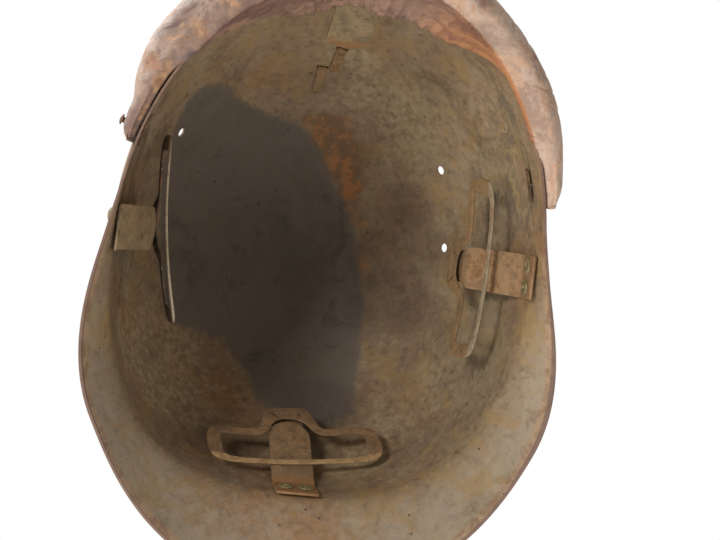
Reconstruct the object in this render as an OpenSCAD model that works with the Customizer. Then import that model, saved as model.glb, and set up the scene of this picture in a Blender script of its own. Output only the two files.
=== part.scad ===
// Motorized troops helmet: a pressed steel shell with a flared neck guard, a stuffed
// leather brow bumper, and riveted spring tongues that carry the liner frames inside.
// Front is -Y, up is +Z, the helmet stands on its rim. Left and right are the wearer's.

/* [Shell] */
// Half width of the dome at the crease
dome_half_w = 98; // [92:1:106]
// Reach of the dome from the middle to the brow
brow_reach = 125.5; // [118:0.5:132]
// Reach of the dome from the middle to the nape
nape_reach = 123; // [116:0.5:130]
// Height of the crown over the floor
crown_h = 162; // [152:1:172]
// Thickness of the steel sheet
sheet_t = 1.2; // [1:0.1:1.6]
// Height of the brow rim over the floor
brow_rim_z = 3.2; // [2.6:0.2:5]
// Rise of the rim over the ears
ear_rise = 9; // [6:0.5:12]
// Height of the crease at the ears
ear_crease_z = 22; // [19:0.5:26]
// Height of the crease at the nape
nape_crease_z = 35.5; // [30:0.5:40]
// Reach of the flare behind the ears
side_flare = 19.5; // [14:0.5:24]
// How far the right side, which is bent out, stands beyond the left side
right_spread = 4.2; // [0:0.2:5]
// Reach of the neck guard at the nape
nape_flare = 38; // [30:0.5:44]

/* [Vents] */
// Diameter of a vent hole
vent_d = 4.8; // [3:0.2:7]
// Height of the vent holes
vent_z = 117.8; // [108:0.5:124]
// Angle of the front vents from the brow
front_vent_a = 60; // [50:1:68]
// Angle of the rear vents from the brow
rear_vent_a = 91; // [84:1:104]

/* [Bumper] */
// Thickness of the bumper at the brow
bumper_t = 17.5; // [13:0.5:21]
// Height of the bumper at the brow
bumper_h = 47; // [40:1:52]
// Height of the bumper at its ends
bumper_end_h = 33; // [28:1:38]
// Angle of the left bumper end from the brow
left_end_a = 72; // [69:0.5:74]
// Angle of the right bumper end from the brow
right_end_a = 70; // [69:0.5:74]
// Thickness of the leather
leather_t = 1.4; // [1:0.1:1.8]
// Height of the leather fold inside the rim
fold_h = 20; // [14:0.5:24]
// How far the free edge of the fold stands in from the brow wall
fold_reach = 13; // [6:0.5:15]

/* [Badge] */
// Diameter of the badge disc
badge_d = 46; // [36:1:52]
// Thickness of the badge sheet
badge_t = 0.9; // [0.7:0.1:1.4]
// Width of a badge tab
badge_tab_w = 5.2; // [4:0.2:5.4]
// Length of a badge tab along the wall
badge_tab_l = 17; // [8:0.5:18]

/* [Spring tongues] */
// Width of a tongue
tongue_w = 21.2; // [18:0.2:24]
// Thickness of a tongue
tongue_t = 1.1; // [0.8:0.1:1.5]
// Height of the root plate
root_h = 15; // [13.5:0.5:18]
// Length of the blade above its bend
blade_l = 44; // [38:1:48]
// Slope of the side blades from upright
side_slope = 25; // [21:0.5:28]
// Slope of the rear blade from upright
rear_slope = 28.5; // [22:0.5:32]
// Slope of the front blade from upright
front_slope = 38; // [28:1:40]
// Lean of the side tongues towards the nape
side_lean = 3.5; // [0:0.5:5]
// Radius of the round end of the side and front tongues
blunt_r = 14.5; // [13:0.5:20]
// Height of the side rivets
side_rivet_z = 26; // [25:0.5:30]
// Height of the rear rivets
rear_rivet_z = 39; // [38.5:0.5:42]
// Height of the front rivets
front_rivet_z = 27; // [25:0.5:31]
// Distance between the two rivets of a tongue
rivet_gap = 10; // [9.5:0.5:12]
// Diameter of a rivet head
rivet_head_d = 8; // [7:0.2:9]
// Height of a rivet head
rivet_head_h = 2.4; // [1.6:0.2:3]
// Diameter of a rivet shank
rivet_d = 4; // [3:0.2:4.6]

/* [Liner frames] */
// Length of a liner frame
frame_l = 90; // [80:1:94]
// Radius that a frame is curved to
frame_r = 300; // [220:10:400]
// Width of the upper bar
bar_w = 4.8; // [3.6:0.2:5.6]
// Width of the lower bar
low_bar_w = 3.4; // [2.6:0.2:4.4]
// Thickness of the frame sheet
frame_t = 1; // [0.8:0.1:1.3]
// Distance between the middles of the two bars
bar_gap = 21; // [18:0.5:22]
// Lift of the two side frames on their tongues
side_lift = 3; // [2:0.1:3.4]
// Tilt of the left frame off its tongue
left_tilt = 12; // [4:1:16]
// Tilt of the right frame off its tongue
right_tilt = 31; // [20:1:34]
// Turn of the right frame about its tongue
right_turn = -8; // [-9:1:0]
// Roll of the rear frame, which hangs askew on its tongue
rear_roll = 7; // [0:1:8]

/* [Hidden] */

// Small clearances
seat_gap = 0.3;
hole_gap = 0.2;
wrap_gap = 0.5;

// Outline and profile of the shell
rear_power = 2.6;
brow_power = 1.95;
side_profile = 2.3;
rear_profile = 2.05;
brow_profile = 2.1;
flare_start_a = 76;
flare_full_a = 132;
flare_soft = 0.10;
flare_knee = 0.12;
// Share of the right side's spread that the flare behind it takes back
flare_share = 0.85;
shell_cols = 72;
dome_rows = 13;
skirt_rows = 7;

// A tongue sits a little behind the middle of each side
side_y = 3.4;
bend_r = 5;
tip_gap = 1.6;
// The round tip is a little wider than the blade and so meets its sides at an angle
tip_ease = 0.3;

function smooth(t) = let (c = max(0, min(1, t))) c * c * (3 - 2 * c);
function fold(a) = let (m = abs(a) % 360) m > 180 ? 360 - m : m;
function unit(v) = v / norm(v);

// Plan outline at the crease: half of one superellipse in front, half of another behind
function reach(a) = fold(a) < 90 ? brow_reach : nape_reach;
function power(a) = fold(a) < 90 ? brow_power : rear_power;
function half_w(a) = dome_half_w + (sin(a) < 0 ? right_spread : 0);
function radius(a) = pow(
    pow(abs(sin(a)) / half_w(a), power(a)) + pow(abs(cos(a)) / reach(a), power(a)),
    -1 / power(a));
function outline(a) = radius(a) * [sin(a), -cos(a)];
function outward(a) = let (p = outline(a), n = power(a) - 1) unit([
    sign(p[0]) * pow(abs(p[0]) / half_w(a), n) / half_w(a),
    sign(p[1]) * pow(abs(p[1]) / reach(a), n) / reach(a)]);

// Heights of the rim and the crease, and the reach of the flare, round the shell
function rim_z(a) = brow_rim_z * (1 - smooth(fold(a) / 150))
    + ear_rise * smooth((fold(a) - 20) / 60) * (1 - smooth((fold(a) - 95) / 45));
function crease_z(a) = ear_crease_z + (nape_crease_z - ear_crease_z) * smooth((fold(a) - 80) / 80);
function side_reach(a) = side_flare - (sin(a) < 0 ? flare_share * right_spread : 0);
function flare(a) = side_reach(a) * smooth((fold(a) - flare_start_a) / (flare_full_a - flare_start_a))
    + (nape_flare - side_reach(a)) * smooth((fold(a) - flare_full_a) / (180 - flare_full_a));
function profile(a) = fold(a) < 90
    ? brow_profile + (side_profile - brow_profile) * smooth(fold(a) / 90)
    : side_profile + (rear_profile - side_profile) * smooth((fold(a) - 90) / 90);

// Dome: the outline shrinks towards the crown along a superellipse arc
function shrink(a, z) = let (q = max(0, min(1, (z - crease_z(a)) / (crown_h - crease_z(a)))))
    pow(max(0, 1 - pow(q, profile(a))), 1 / profile(a));
function dome_pt(a, t) = let (
    p = profile(a),
    q = pow(sin(90 * t), 2 / p),
    f = pow(cos(90 * t), 2 / p),
    o = outline(a))
    [o[0] * f, o[1] * f, crease_z(a) + q * (crown_h - crease_z(a))];

// Skirt: upright at the crease, bent through a soft knee into a straight flare
function knee(s) = (s - flare_knee) + sqrt(pow(s - flare_knee, 2) + flare_soft * flare_soft);
function spread(s) = (knee(s) - knee(0)) / (knee(1) - knee(0));
function skirt_pt(a, s) = let (o = outline(a) + outward(a) * flare(a) * spread(s))
    [o[0], o[1], crease_z(a) - s * (crease_z(a) - rim_z(a))];

// One point of the outer face and one of the inner face; row 0 is next to the crown
function row_t(i) = 1 - (i + 1) / (dome_rows + 1);
function row_s(i) = pow(max(0, i - dome_rows) / skirt_rows, 1.4);
function outer_pt(a, i) = i <= dome_rows ? dome_pt(a, row_t(i)) : skirt_pt(a, row_s(i));
function slope_pt(a, i) = let (
    e = 0.02,
    r = i < dome_rows ? dome_pt(a, row_t(i) + e) - dome_pt(a, row_t(i) - e)
        : skirt_pt(a, max(0, row_s(i) - e)) - skirt_pt(a, row_s(i) + e),
    c = outer_pt(a + 0.5, i) - outer_pt(a - 0.5, i))
    unit(cross(c, r));
function inner_pt(a, i) = let (p = outer_pt(a, i), n = slope_pt(a, i), h = outward(a))
    i < dome_rows ? p - sheet_t * n
    : let (run = sheet_t / norm([n[0], n[1]])) [p[0] - h[0] * run, p[1] - h[1] * run, p[2]];

// Outward wall point at an angle and height, moved out by u
function wall_pt(a, z, u) = let (o = outline(a) * shrink(a, z) + outward(a) * u) [o[0], o[1], z];

// Faces of a grid of points: rows of cols points, closed round or open
function grid_faces(cols, rows, first, wrap, flip) = [
    for (r = [0 : rows - 2], c = [0 : cols - (wrap ? 1 : 2)])
        let (a = first + r * cols + c, b = first + r * cols + (c + 1) % cols, d = a + cols, e = b + cols)
        each flip ? [[a, d, b], [b, d, e]] : [[a, b, d], [b, e, d]]];

module shell_body() {
    rows = dome_rows + skirt_rows + 1;
    count = rows * shell_cols;
    outer = [for (i = [0 : rows - 1], c = [0 : shell_cols - 1]) outer_pt(c * 360 / shell_cols, i)];
    inner = [for (i = [0 : rows - 1], c = [0 : shell_cols - 1]) inner_pt(c * 360 / shell_cols, i)];
    top = [[0, 0, crown_h], [0, 0, crown_h - sheet_t]];
    crown = 2 * count;
    last = count - shell_cols;
    faces = concat(
        grid_faces(shell_cols, rows, 0, true, false),
        grid_faces(shell_cols, rows, count, true, true),
        [for (c = [0 : shell_cols - 1]) let (d = (c + 1) % shell_cols) each [
            [crown, d, c],
            [crown + 1, count + c, count + d],
            [last + c, last + d, count + last + c],
            [last + d, count + last + d, count + last + c]]]);
    polyhedron(points = concat(outer, inner, top), faces = faces, convexity = 6);
}

// Half width of the dome at a side tongue, and the lean of each tongue in the wall
function side_w(side) = dome_half_w + (side == "right" ? right_spread : 0);
function lean(side) = side == "left" ? side_lean : side == "right" ? -side_lean : 0;

// Places its children on the inner wall: +Y points to the head, +Z up
module on_wall(side) {
    place = side == "front" ? [0, -(brow_reach - sheet_t), 0]
        : side == "rear" ? [0, nape_reach - sheet_t, 180]
        : side == "left" ? [side_w(side) - sheet_t, side_y, 90]
        : [-(side_w(side) - sheet_t), side_y, -90];
    translate([place[0], place[1], rivet_z(side)])
        rotate([0, 0, place[2]])
            rotate([0, lean(side), 0])
                translate([0, 0, -rivet_z(side)])
                    children();
}

function rivet_z(side) = side == "front" ? front_rivet_z : side == "rear" ? rear_rivet_z : side_rivet_z;
function slope(side) = side == "front" ? front_slope : side == "rear" ? rear_slope : side_slope;

// The flat root plate clears the curved wall by seat_gap at its upper corners
function plate_sag(side) = let (
    h = tongue_w / 2 + root_h / 2 * sin(abs(lean(side))),
    z = rivet_z(side) + root_h / 2 + tongue_w / 2 * sin(abs(lean(side))),
    a = side == "front" ? atan2(h, brow_reach)
        : side == "rear" ? 180 - atan2(h, nape_reach)
        : (side == "right" ? -1 : 1) * (90 + atan2(side_y + h, side_w(side))),
    p = outline(a) * shrink(a, z))
    side == "front" ? brow_reach + p[1] : side == "rear" ? nape_reach - p[1] : side_w(side) - abs(p[0]);
function plate_gap(side) = seat_gap + plate_sag(side);

module rivet_pair(side) {
    on_wall(side)
        for (x = [-rivet_gap / 2, rivet_gap / 2])
            translate([x, 0, rivet_z(side)])
                rotate([-90, 0, 0])
                    children();
}

// Depth of the badge under the crown
badge_drop = 41.5;
function badge_z() = crown_h - badge_drop;
function brow_slope(z) = let (p = wall_pt(0, z - 5, 0), q = wall_pt(0, z + 5, 0)) atan2(q[1] - p[1], 10);
badge_slot_gap = 12.4;
badge_slot_z = [badge_z() - badge_slot_gap / 2, badge_z() + badge_slot_gap / 2];
// Middle of the badge across the brow, and the room between its two tabs
badge_x = 2.45;
badge_tab_room = 2.1;
badge_tab_x = [for (side = [1, -1]) badge_x + side * (badge_tab_w + badge_tab_room) / 2];

// Places its children on the outer brow wall: +Y points in, +Z up along the wall
module on_brow(x, z) {
    a = asin(x / (brow_reach * shrink(0, z)));
    n = outward(a);
    translate(wall_pt(a, z, 0))
        rotate([0, 0, atan2(n[0], -n[1])])
            rotate([-brow_slope(z), 0, 0])
                children();
}

pin_a = 66;
pin_z = 26;
pin_d = 2.6;
pin_head_r = 2.5;
pin_head_h = 1.1;
pin_seat = 0.9;

module on_bumper_end(a) {
    p = wall_pt(a, pin_z, 0);
    n = outward(a);
    translate(p)
        rotate([0, 0, atan2(n[1], n[0]) + 90])
            children();
}

module shell() {
    color("#4f4a3a")
        difference() {
            shell_body();
            for (a = [front_vent_a, rear_vent_a, -front_vent_a, -rear_vent_a])
                let (p = wall_pt(a, vent_z, 0), n = outward(a))
                    translate(p)
                        rotate([0, 0, atan2(n[1], n[0])])
                            rotate([0, 50, 0])
                                cylinder(h = 16, d = vent_d, center = true, $fn = 32);
            for (side = ["front", "rear", "left", "right"])
                rivet_pair(side)
                    cylinder(h = 10, d = rivet_d + 2 * hole_gap, center = true, $fn = 32);
            for (i = [0, 1])
                on_brow(badge_tab_x[i], badge_slot_z[i])
                    cube([badge_tab_w + 1, 9, badge_t + 1], center = true);
            for (a = [pin_a, -pin_a])
                on_bumper_end(a)
                    rotate([90, 0, 0])
                        cylinder(h = 10, d = pin_d + 2 * hole_gap, center = true, $fn = 32);
        }
}

// Bumper section at one angle: u is the distance out from the wall, z the height
bumper_cols = 40;
bulge_psi = [-80, -62, -42, -20, 2, 24, 46, 66, 82, 90];
// Share of the thickness that each half of the bumper loses towards its end
left_taper = 0.45;
right_taper = 0.58;
function end_a(a) = a < 0 ? right_end_a : left_end_a;
function end_round(a) = let (e = max(0, (abs(a) / end_a(a) - 0.9) / 0.1)) sqrt(max(0, 1 - e * e));
function bumper_thick(a) = bumper_t
    * (1 - (a < 0 ? right_taper : left_taper) * smooth((abs(a) - 42) / (end_a(a) - 42)));
function bumper_top(a) = let (
    full = bumper_h - (bumper_h - bumper_end_h) * smooth((abs(a) - 25) / (end_a(a) - 25)),
    mid = (full + rim_z(a)) / 2)
    mid + (full - mid) * (0.6 + 0.4 * end_round(a));
function bumper_low(a) = rim_z(a) - leather_t - 2.2 + 1.4 * (1 - end_round(a));
function bulge_pt(a, psi) = let (
    skin = wrap_gap + leather_t,
    u = skin + (bumper_thick(a) - skin) * end_round(a) * pow(max(0, cos(psi)), 0.75),
    z = (bumper_top(a) + bumper_low(a)) / 2 + (bumper_top(a) - bumper_low(a)) / 2 * sin(psi))
    [u, max(0, z)];
// The fold is whole at the brow, stands off the wall there and dies away to both sides
fold_least = 1.6;
fold_full_a = 22;
function fold_up(a) = fold_least + fold_h * (1 - smooth((abs(a) - fold_full_a) / (a < 0 ? 26 : 16)));
function fold_in(a) = fold_reach * (1 - smooth((abs(a) - fold_full_a / 2) / (a < 0 ? 34 : 26)));
function bumper_section(a) = let (
    r = sheet_t / 2 + wrap_gap + leather_t,
    c = [-sheet_t / 2, rim_z(a) + 0.5],
    up = fold_up(a),
    far = fold_in(a))
    concat(
        [[c[0] - r - far, c[1] + up], [c[0] - r - 0.45 * far, c[1] + up * 0.5]],
        [for (t = [180, 225, 270]) c + r * [cos(t), sin(t)]],
        [for (psi = bulge_psi) bulge_pt(a, psi)]);

// Points of a path moved to its left by d
function moved_left(path, d) = [for (i = [0 : len(path) - 1])
    let (t = unit(path[min(i + 1, len(path) - 1)] - path[max(i - 1, 0)])) path[i] + d * [-t[1], t[0]]];
function along_wall(a, path) = [for (p = path) wall_pt(a, p[1], p[0])];

module bumper_cover() {
    angles = [for (i = [0 : bumper_cols]) -right_end_a + (left_end_a + right_end_a) * i / bumper_cols];
    cols = len(bumper_section(0));
    rows = len(angles);
    outer = [for (a = angles) each along_wall(a, bumper_section(a))];
    inner = [for (a = angles) each along_wall(a, moved_left(bumper_section(a), leather_t))];
    n = cols * rows;
    faces = concat(
        grid_faces(cols, rows, 0, false, false),
        grid_faces(cols, rows, n, false, true),
        [for (c = [0 : cols - 2]) each [
            [c, n + c, c + 1], [c + 1, n + c, n + c + 1],
            [n - cols + c, n - cols + c + 1, 2 * n - cols + c],
            [n - cols + c + 1, 2 * n - cols + c + 1, 2 * n - cols + c]]],
        [for (r = [0 : rows - 2]) let (a = r * cols, b = a + cols, d = a + cols - 1, e = b + cols - 1) each [
            [a, b, n + a], [b, n + b, n + a],
            [d, n + d, e], [e, n + d, n + e]]]);
    color("#6b4a3a")
        difference() {
            polyhedron(points = concat(outer, inner), faces = faces, convexity = 8);
            for (a = [pin_a, -pin_a])
                on_bumper_end(a)
                    rotate([90, 0, 0])
                        cylinder(h = 60, d = pin_d + 2 * hole_gap, center = true, $fn = 32);
        }
}

module bumper_filling() {
    ends = [-right_end_a, left_end_a] * 0.86;
    steps = 30;
    psis = [-60, -40, -18, 4, 26, 48, 66];
    angles = [for (i = [0 : steps]) ends[0] + (ends[1] - ends[0]) * i / steps];
    loop = function (a) let (
        path = moved_left([for (psi = psis) bulge_pt(a, psi)], leather_t + seat_gap + 0.3),
        low = path[0], high = path[len(path) - 1])
        along_wall(a, concat(path, [[wrap_gap, high[1] - 1], [wrap_gap, (high[1] + low[1]) / 2], [wrap_gap, low[1] + 1.5]]));
    cols = len(loop(0));
    rows = len(angles);
    pts = [for (a = angles) each loop(a)];
    last = (rows - 1) * cols;
    faces = concat(
        grid_faces(cols, rows, 0, true, false),
        [for (c = [1 : cols - 2]) each [[0, c + 1, c], [last, last + c, last + c + 1]]]);
    color("#8a7a62")
        difference() {
            polyhedron(points = pts, faces = faces, convexity = 6);
            rivet_pair("front")
                translate([0, 0, -sheet_t - rivet_head_h - 1])
                    cylinder(h = rivet_head_h + 2, d = rivet_head_d + 1.5, $fn = 32);
        }
}

// Split pin: a domed head on the leather, a shank through the wall, two legs bent apart
module bumper_pin(a) {
    head = bulge_pt(a, asin(max(-1, min(1, (pin_z - (bumper_top(a) + bumper_low(a)) / 2)
        / ((bumper_top(a) - bumper_low(a)) / 2)))))[0];
    leg_l = 8;
    leg_t = 0.9;
    leg_y = sheet_t + seat_gap + leg_l * leg_l / 2 / half_w(a);
    color("#8d8a4a")
        on_bumper_end(a) {
            translate([0, -head - pin_seat, 0])
                rotate([90, 0, 0])
                    rotate_extrude($fn = 40)
                        polygon(concat([[0, 0], [pin_head_r, 0]],
                            [for (t = [15 : 15 : 90]) [pin_head_r * cos(t), pin_head_h * sin(t)]]));
            translate([0, -head - pin_seat, 0])
                rotate([-90, 0, 0])
                    cylinder(h = head + pin_seat + leg_y + leg_t, d = pin_d, $fn = 32);
            for (side = [-1, 1])
                translate([side * leg_l / 2, leg_y + leg_t / 2, 0])
                    cube([leg_l, leg_t, 3], center = true);
        }
}
module left_bumper_pin() { bumper_pin(pin_a); }
module right_bumper_pin() { bumper_pin(-pin_a); }

// Dished disc with a raised rim and one plain ring, all turned about its middle
badge_dish_r = 150;
module badge_disc() {
    r = badge_d / 2;
    dish = function (x) badge_dish_r - sqrt(badge_dish_r * badge_dish_r - x * x);
    color("#7b6a3a")
        on_brow(badge_x, badge_z())
            rotate([90, 0, 0])
                translate([0, 0, seat_gap])
                    rotate_extrude($fn = 72)
                        polygon(concat(
                            [for (i = [0 : 8]) [r * i / 8, -dish(r * i / 8)]],
                            [[r, -dish(r) + badge_t + 1], [r - 1.6, -dish(r) + badge_t + 1.1], [r - 2.4, -dish(r - 2.4) + badge_t]],
                            [for (i = [6 : -1 : 0]) [(r - 3) * i / 7, -dish((r - 3) * i / 7) + badge_t + (i == 4 ? 0.5 : 0)]]));
}

// Each tab comes through its slot and is bent up along the inner wall
module badge_tabs() {
    through = sheet_t + 1.3;
    foot = seat_gap / 2;
    half = badge_t / 2;
    lean = 5;
    top = [through + badge_tab_l * sin(lean), badge_tab_l * cos(lean) - half];
    color("#7b6a3a")
        for (i = [0, 1])
            on_brow(badge_tab_x[i], badge_slot_z[i])
                rotate([90, 0, 90])
                    linear_extrude(height = badge_tab_w, center = true)
                        polygon([[-foot, -half], [through, -half], top,
                            top + badge_t * [-cos(lean), sin(lean)], [through - badge_t, half], [-foot, half]]);
}

// Side view of a tongue as a bent strip: y is the distance from the wall, z the height
function tongue_path(side) = let (
    y = plate_gap(side) + tongue_t / 2,
    z = rivet_z(side) + root_h / 2 - 1.5,
    s = slope(side))
    concat(
        [[y, rivet_z(side) - root_h / 2 - 1.5]],
        [for (i = [0 : 6]) let (t = s * i / 6) [y + bend_r * (1 - cos(t)), z + bend_r * sin(t)]],
        [tongue_end(side)]);
function tongue_bend(side) = let (s = slope(side))
    [plate_gap(side) + tongue_t / 2 + bend_r * (1 - cos(s)), rivet_z(side) + root_h / 2 - 1.5 + bend_r * sin(s)];
function tongue_end(side) = tongue_bend(side) + blade_l * [sin(slope(side)), cos(slope(side))];

// Places its children in the blade: +X across, +Z along it from the bend, +Y to the head
module on_blade(side) {
    b = tongue_bend(side);
    on_wall(side)
        translate([0, b[0], b[1]])
            rotate([-slope(side), 0, 0])
                children();
}

module tongue(side) {
    path = tongue_path(side);
    tip_r = side == "rear" ? tongue_w / 2 + tip_ease : blunt_r;
    color("#6a4630")
        difference() {
            intersection() {
                on_wall(side)
                    rotate([90, 0, 90])
                        linear_extrude(height = tongue_w, center = true)
                            polygon(concat(moved_left(path, tongue_t / 2),
                                [for (i = [len(path) - 1 : -1 : 0]) moved_left(path, -tongue_t / 2)[i]]));
                union() {
                    on_blade(side)
                        translate([0, 0, blade_l - tip_r])
                            rotate([90, 0, 0])
                                cylinder(h = 30, r = tip_r, center = true, $fn = 64);
                    on_blade(side)
                        translate([-tongue_w, -20, -40])
                            cube([2 * tongue_w, 40, 40 + blade_l - tip_r]);
                }
            }
            rivet_pair(side)
                cylinder(h = 12, d = rivet_d + 2 * hole_gap, center = true, $fn = 32);
        }
}
module front_tongue() { tongue("front"); }
module rear_tongue() { tongue("rear"); }
module left_tongue() { tongue("left"); }
module right_tongue() { tongue("right"); }

// Tubular rivet: a domed head outside, a hollow shank rolled over into a ring inside
module rivets(side) {
    out = sheet_t + seat_gap;
    inside = plate_gap(side) + tongue_t + 0.1;
    ring_t = 0.9;
    ring_r = rivet_head_d / 2 - 0.2;
    bore_r = 1.2;
    color("#8d8a4a")
        rivet_pair(side)
            rotate_extrude($fn = 48)
                polygon(concat(
                    [[0, -out - rivet_head_h]],
                    [for (t = [75 : -15 : 0]) [rivet_head_d / 2 * cos(t), -out - rivet_head_h * sin(t)]],
                    [[rivet_d / 2, -out], [rivet_d / 2, inside], [ring_r, inside], [ring_r, inside + ring_t * 0.5],
                     [ring_r - 0.9, inside + ring_t], [bore_r + 0.6, inside + ring_t], [bore_r, inside + ring_t * 0.6],
                     [bore_r, inside - 1.4], [0, inside - 1.4]]));
}
module front_rivets() { rivets("front"); }
module rear_rivets() { rivets("rear"); }
module left_rivets() { rivets("left"); }
module right_rivets() { rivets("right"); }

// Liner frame in blade coordinates: a curved sheet ring with an arch round the tongue tip,
// folded over at its top into a short tab behind the tip
low_bar_z = 13.5;
end_bar_w = 8;
tab_reach = 3;
function frame_outline() = let (
    half = frame_l / 2, low = low_bar_z - low_bar_w / 2, high = low_bar_z + bar_gap + bar_w / 2, top = blade_l + 10)
    [[-half + 4, low], [half - 4, low], [half - 1, low + 3], [half, high - 6], [half - 1.5, high - 1], [half - 4, high],
     [18.5, high], [16, high + 2], [10, top], [-10, top], [-16, high + 2], [-18.5, high],
     [-half + 4, high], [-half + 1.5, high - 1], [-half, high - 6], [-half + 1, low + 3]];
function frame_window() = let (
    half = frame_l / 2 - end_bar_w, low = low_bar_z + low_bar_w / 2, high = low_bar_z + bar_gap - bar_w / 2,
    arch_r = tongue_w / 2 + tip_gap, arch_z = blade_l - tongue_w / 2)
    concat(
        [[-half + 4, low], [half - 4, low], [half, low + 5], [half - 1.5, high], [arch_r + 1.5, high]],
        [for (t = [0 : 15 : 180]) [arch_r * cos(t), arch_z + arch_r * sin(t)]],
        [[-arch_r - 1.5, high], [-half + 1.5, high], [-half, low + 5]]);

module liner_frame(side, lift, tilt, turn, roll) {
    front = tongue_t / 2 + seat_gap;
    pivot_z = blade_l + lift - tab_reach;
    back = -front - frame_t;
    color("#7a5535")
        on_blade(side)
            translate([0, back / 2, pivot_z])
                rotate([tilt, 0, 0])
                rotate([0, 0, turn])
                rotate([0, roll, 0])
                    translate([0, -back / 2, lift - pivot_z]) {
                        intersection() {
                            translate([0, 0, -10])
                                linear_extrude(height = 90)
                                    translate([0, front + frame_r])
                                        difference() {
                                            circle(r = frame_r, $fn = 180);
                                            circle(r = frame_r - frame_t, $fn = 180);
                                            translate([0, frame_r * 0.7])
                                                square([4 * frame_r, 3 * frame_r], center = true);
                                        }
                            translate([0, 40, 0])
                                rotate([90, 0, 0])
                                    linear_extrude(height = 60)
                                        difference() {
                                            polygon(frame_outline());
                                            polygon(frame_window());
                                        }
                        }
                        translate([-9.5, back, blade_l + 7.5])
                            cube([19, frame_t - 2 * back - 0.6, 2.4]);
                        translate([-8, back, blade_l - tab_reach])
                            cube([16, frame_t, tab_reach + 9]);
                    }
}
module rear_frame() { liner_frame("rear", 0, 0, 0, rear_roll); }
module left_frame() { liner_frame("left", side_lift, left_tilt, 0, 0); }
module right_frame() { liner_frame("right", side_lift, right_tilt, right_turn, 0); }

shell();
bumper_cover();
bumper_filling();
left_bumper_pin();
right_bumper_pin();
badge_disc();
badge_tabs();
front_tongue();
rear_tongue();
left_tongue();
right_tongue();
front_rivets();
rear_rivets();
left_rivets();
right_rivets();
rear_frame();
left_frame();
right_frame();
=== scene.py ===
"""Motorized troops helmet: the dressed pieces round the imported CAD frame.

Metres, the frame's own axes: front is -Y, up is +Z, left and right are the wearer's.
Each piece is a numpy surface worked out from the sizes in the property groups below.
"""

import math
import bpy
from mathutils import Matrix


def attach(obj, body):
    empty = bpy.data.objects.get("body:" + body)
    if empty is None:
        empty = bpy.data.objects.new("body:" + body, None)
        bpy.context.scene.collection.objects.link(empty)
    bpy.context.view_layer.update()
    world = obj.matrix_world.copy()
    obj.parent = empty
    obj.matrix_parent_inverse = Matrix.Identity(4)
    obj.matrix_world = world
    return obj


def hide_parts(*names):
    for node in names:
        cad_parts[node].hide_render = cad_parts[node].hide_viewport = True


bl_info = {
    "name": "Motorized Troops Helmet",
    "version": (1, 0, 0),
    "blender": (4, 5, 0),
    "location": "View3D > Sidebar > Helmet",
    "description": "Steel helmet with a padded leather brow bumper, spring tongues and liner frames",
    "category": "Add Mesh",
}

import bmesh
import bpy
import numpy as np
from bpy.props import FloatProperty, FloatVectorProperty, PointerProperty
from mathutils import Matrix

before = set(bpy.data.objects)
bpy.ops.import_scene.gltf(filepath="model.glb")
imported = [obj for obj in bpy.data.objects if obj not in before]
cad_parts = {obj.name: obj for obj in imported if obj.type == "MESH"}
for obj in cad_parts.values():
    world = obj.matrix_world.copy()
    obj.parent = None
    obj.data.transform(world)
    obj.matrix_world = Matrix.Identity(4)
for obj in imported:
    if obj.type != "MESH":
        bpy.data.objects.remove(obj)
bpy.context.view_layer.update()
BODY = "helmet"
SIDES = ("front", "rear", "left", "right")


# Sizes and colours that a user would change

def size(name, description, default):
    return FloatProperty(name=name, description=description, default=default, unit="LENGTH", subtype="DISTANCE",
                         precision=4)


def turn(name, description, default):
    return FloatProperty(name=name, description=description, default=math.radians(default), unit="ROTATION",
                         subtype="ANGLE")


def share(name, description, default):
    return FloatProperty(name=name, description=description, default=default, min=0.0, max=1.0, subtype="FACTOR")


def paint(name, description, default):
    return FloatVectorProperty(name=name, description=description, default=default, size=3, min=0.0, max=1.0,
                               subtype="COLOR_GAMMA")


class ShellSizes(bpy.types.PropertyGroup):
    half_w: size("Half width", "Half width of the dome at the crease", 0.098)
    right_spread: size("Right spread", "How far the right side, which is bent out, stands beyond the left", 0.0042)
    brow_reach: size("Brow reach", "Reach of the dome from the middle to the brow", 0.1255)
    nape_reach: size("Nape reach", "Reach of the dome from the middle to the nape", 0.123)
    crown_h: size("Crown height", "Height of the crown over the floor", 0.162)
    sheet: size("Sheet", "Thickness of the steel", 0.0012)
    brow_rim: size("Brow rim", "Height of the brow rim", 0.0032)
    ear_rise: size("Ear rise", "Rise of the rim over the ears", 0.009)
    ear_crease: size("Ear crease", "Height of the crease at the ears", 0.022)
    nape_crease: size("Nape crease", "Height of the crease at the nape", 0.0355)
    side_flare: size("Side flare", "Reach of the flare behind the ears", 0.0195)
    nape_flare: size("Nape flare", "Reach of the neck guard", 0.038)
    dent: size("Dents", "Depth of the shallow dents in the sheet", 0.00035)
    vent: size("Vent", "Diameter of a vent hole", 0.0048)
    vent_z: size("Vent height", "Height of the vent holes", 0.1178)
    front_vent: turn("Front vents", "Angle of the front vents from the brow", 60)
    rear_vent: turn("Rear vents", "Angle of the rear vents from the brow", 91)


class BumperSizes(bpy.types.PropertyGroup):
    thick: size("Thickness", "Thickness of the bumper at the brow", 0.0175)
    high: size("Height", "Height of the bumper at the brow", 0.047)
    end_h: size("End height", "Height of the bumper at its ends", 0.033)
    left_end: turn("Left end", "Angle of the left end from the brow", 72)
    right_end: turn("Right end", "Angle of the right end from the brow", 70)
    leather: size("Leather", "Thickness of the leather", 0.0014)
    fold_h: size("Fold", "Height of the leather fold inside the rim", 0.020)
    fold_reach: size("Fold reach", "How far the free edge of the fold stands in from the brow wall", 0.013)
    crease: size("Creases", "Depth of the creases in the leather", 0.0007)
    pin_a: turn("Pin angle", "Angle of the split pins from the brow", 66)
    pin_z: size("Pin height", "Height of the split pins", 0.026)


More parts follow.
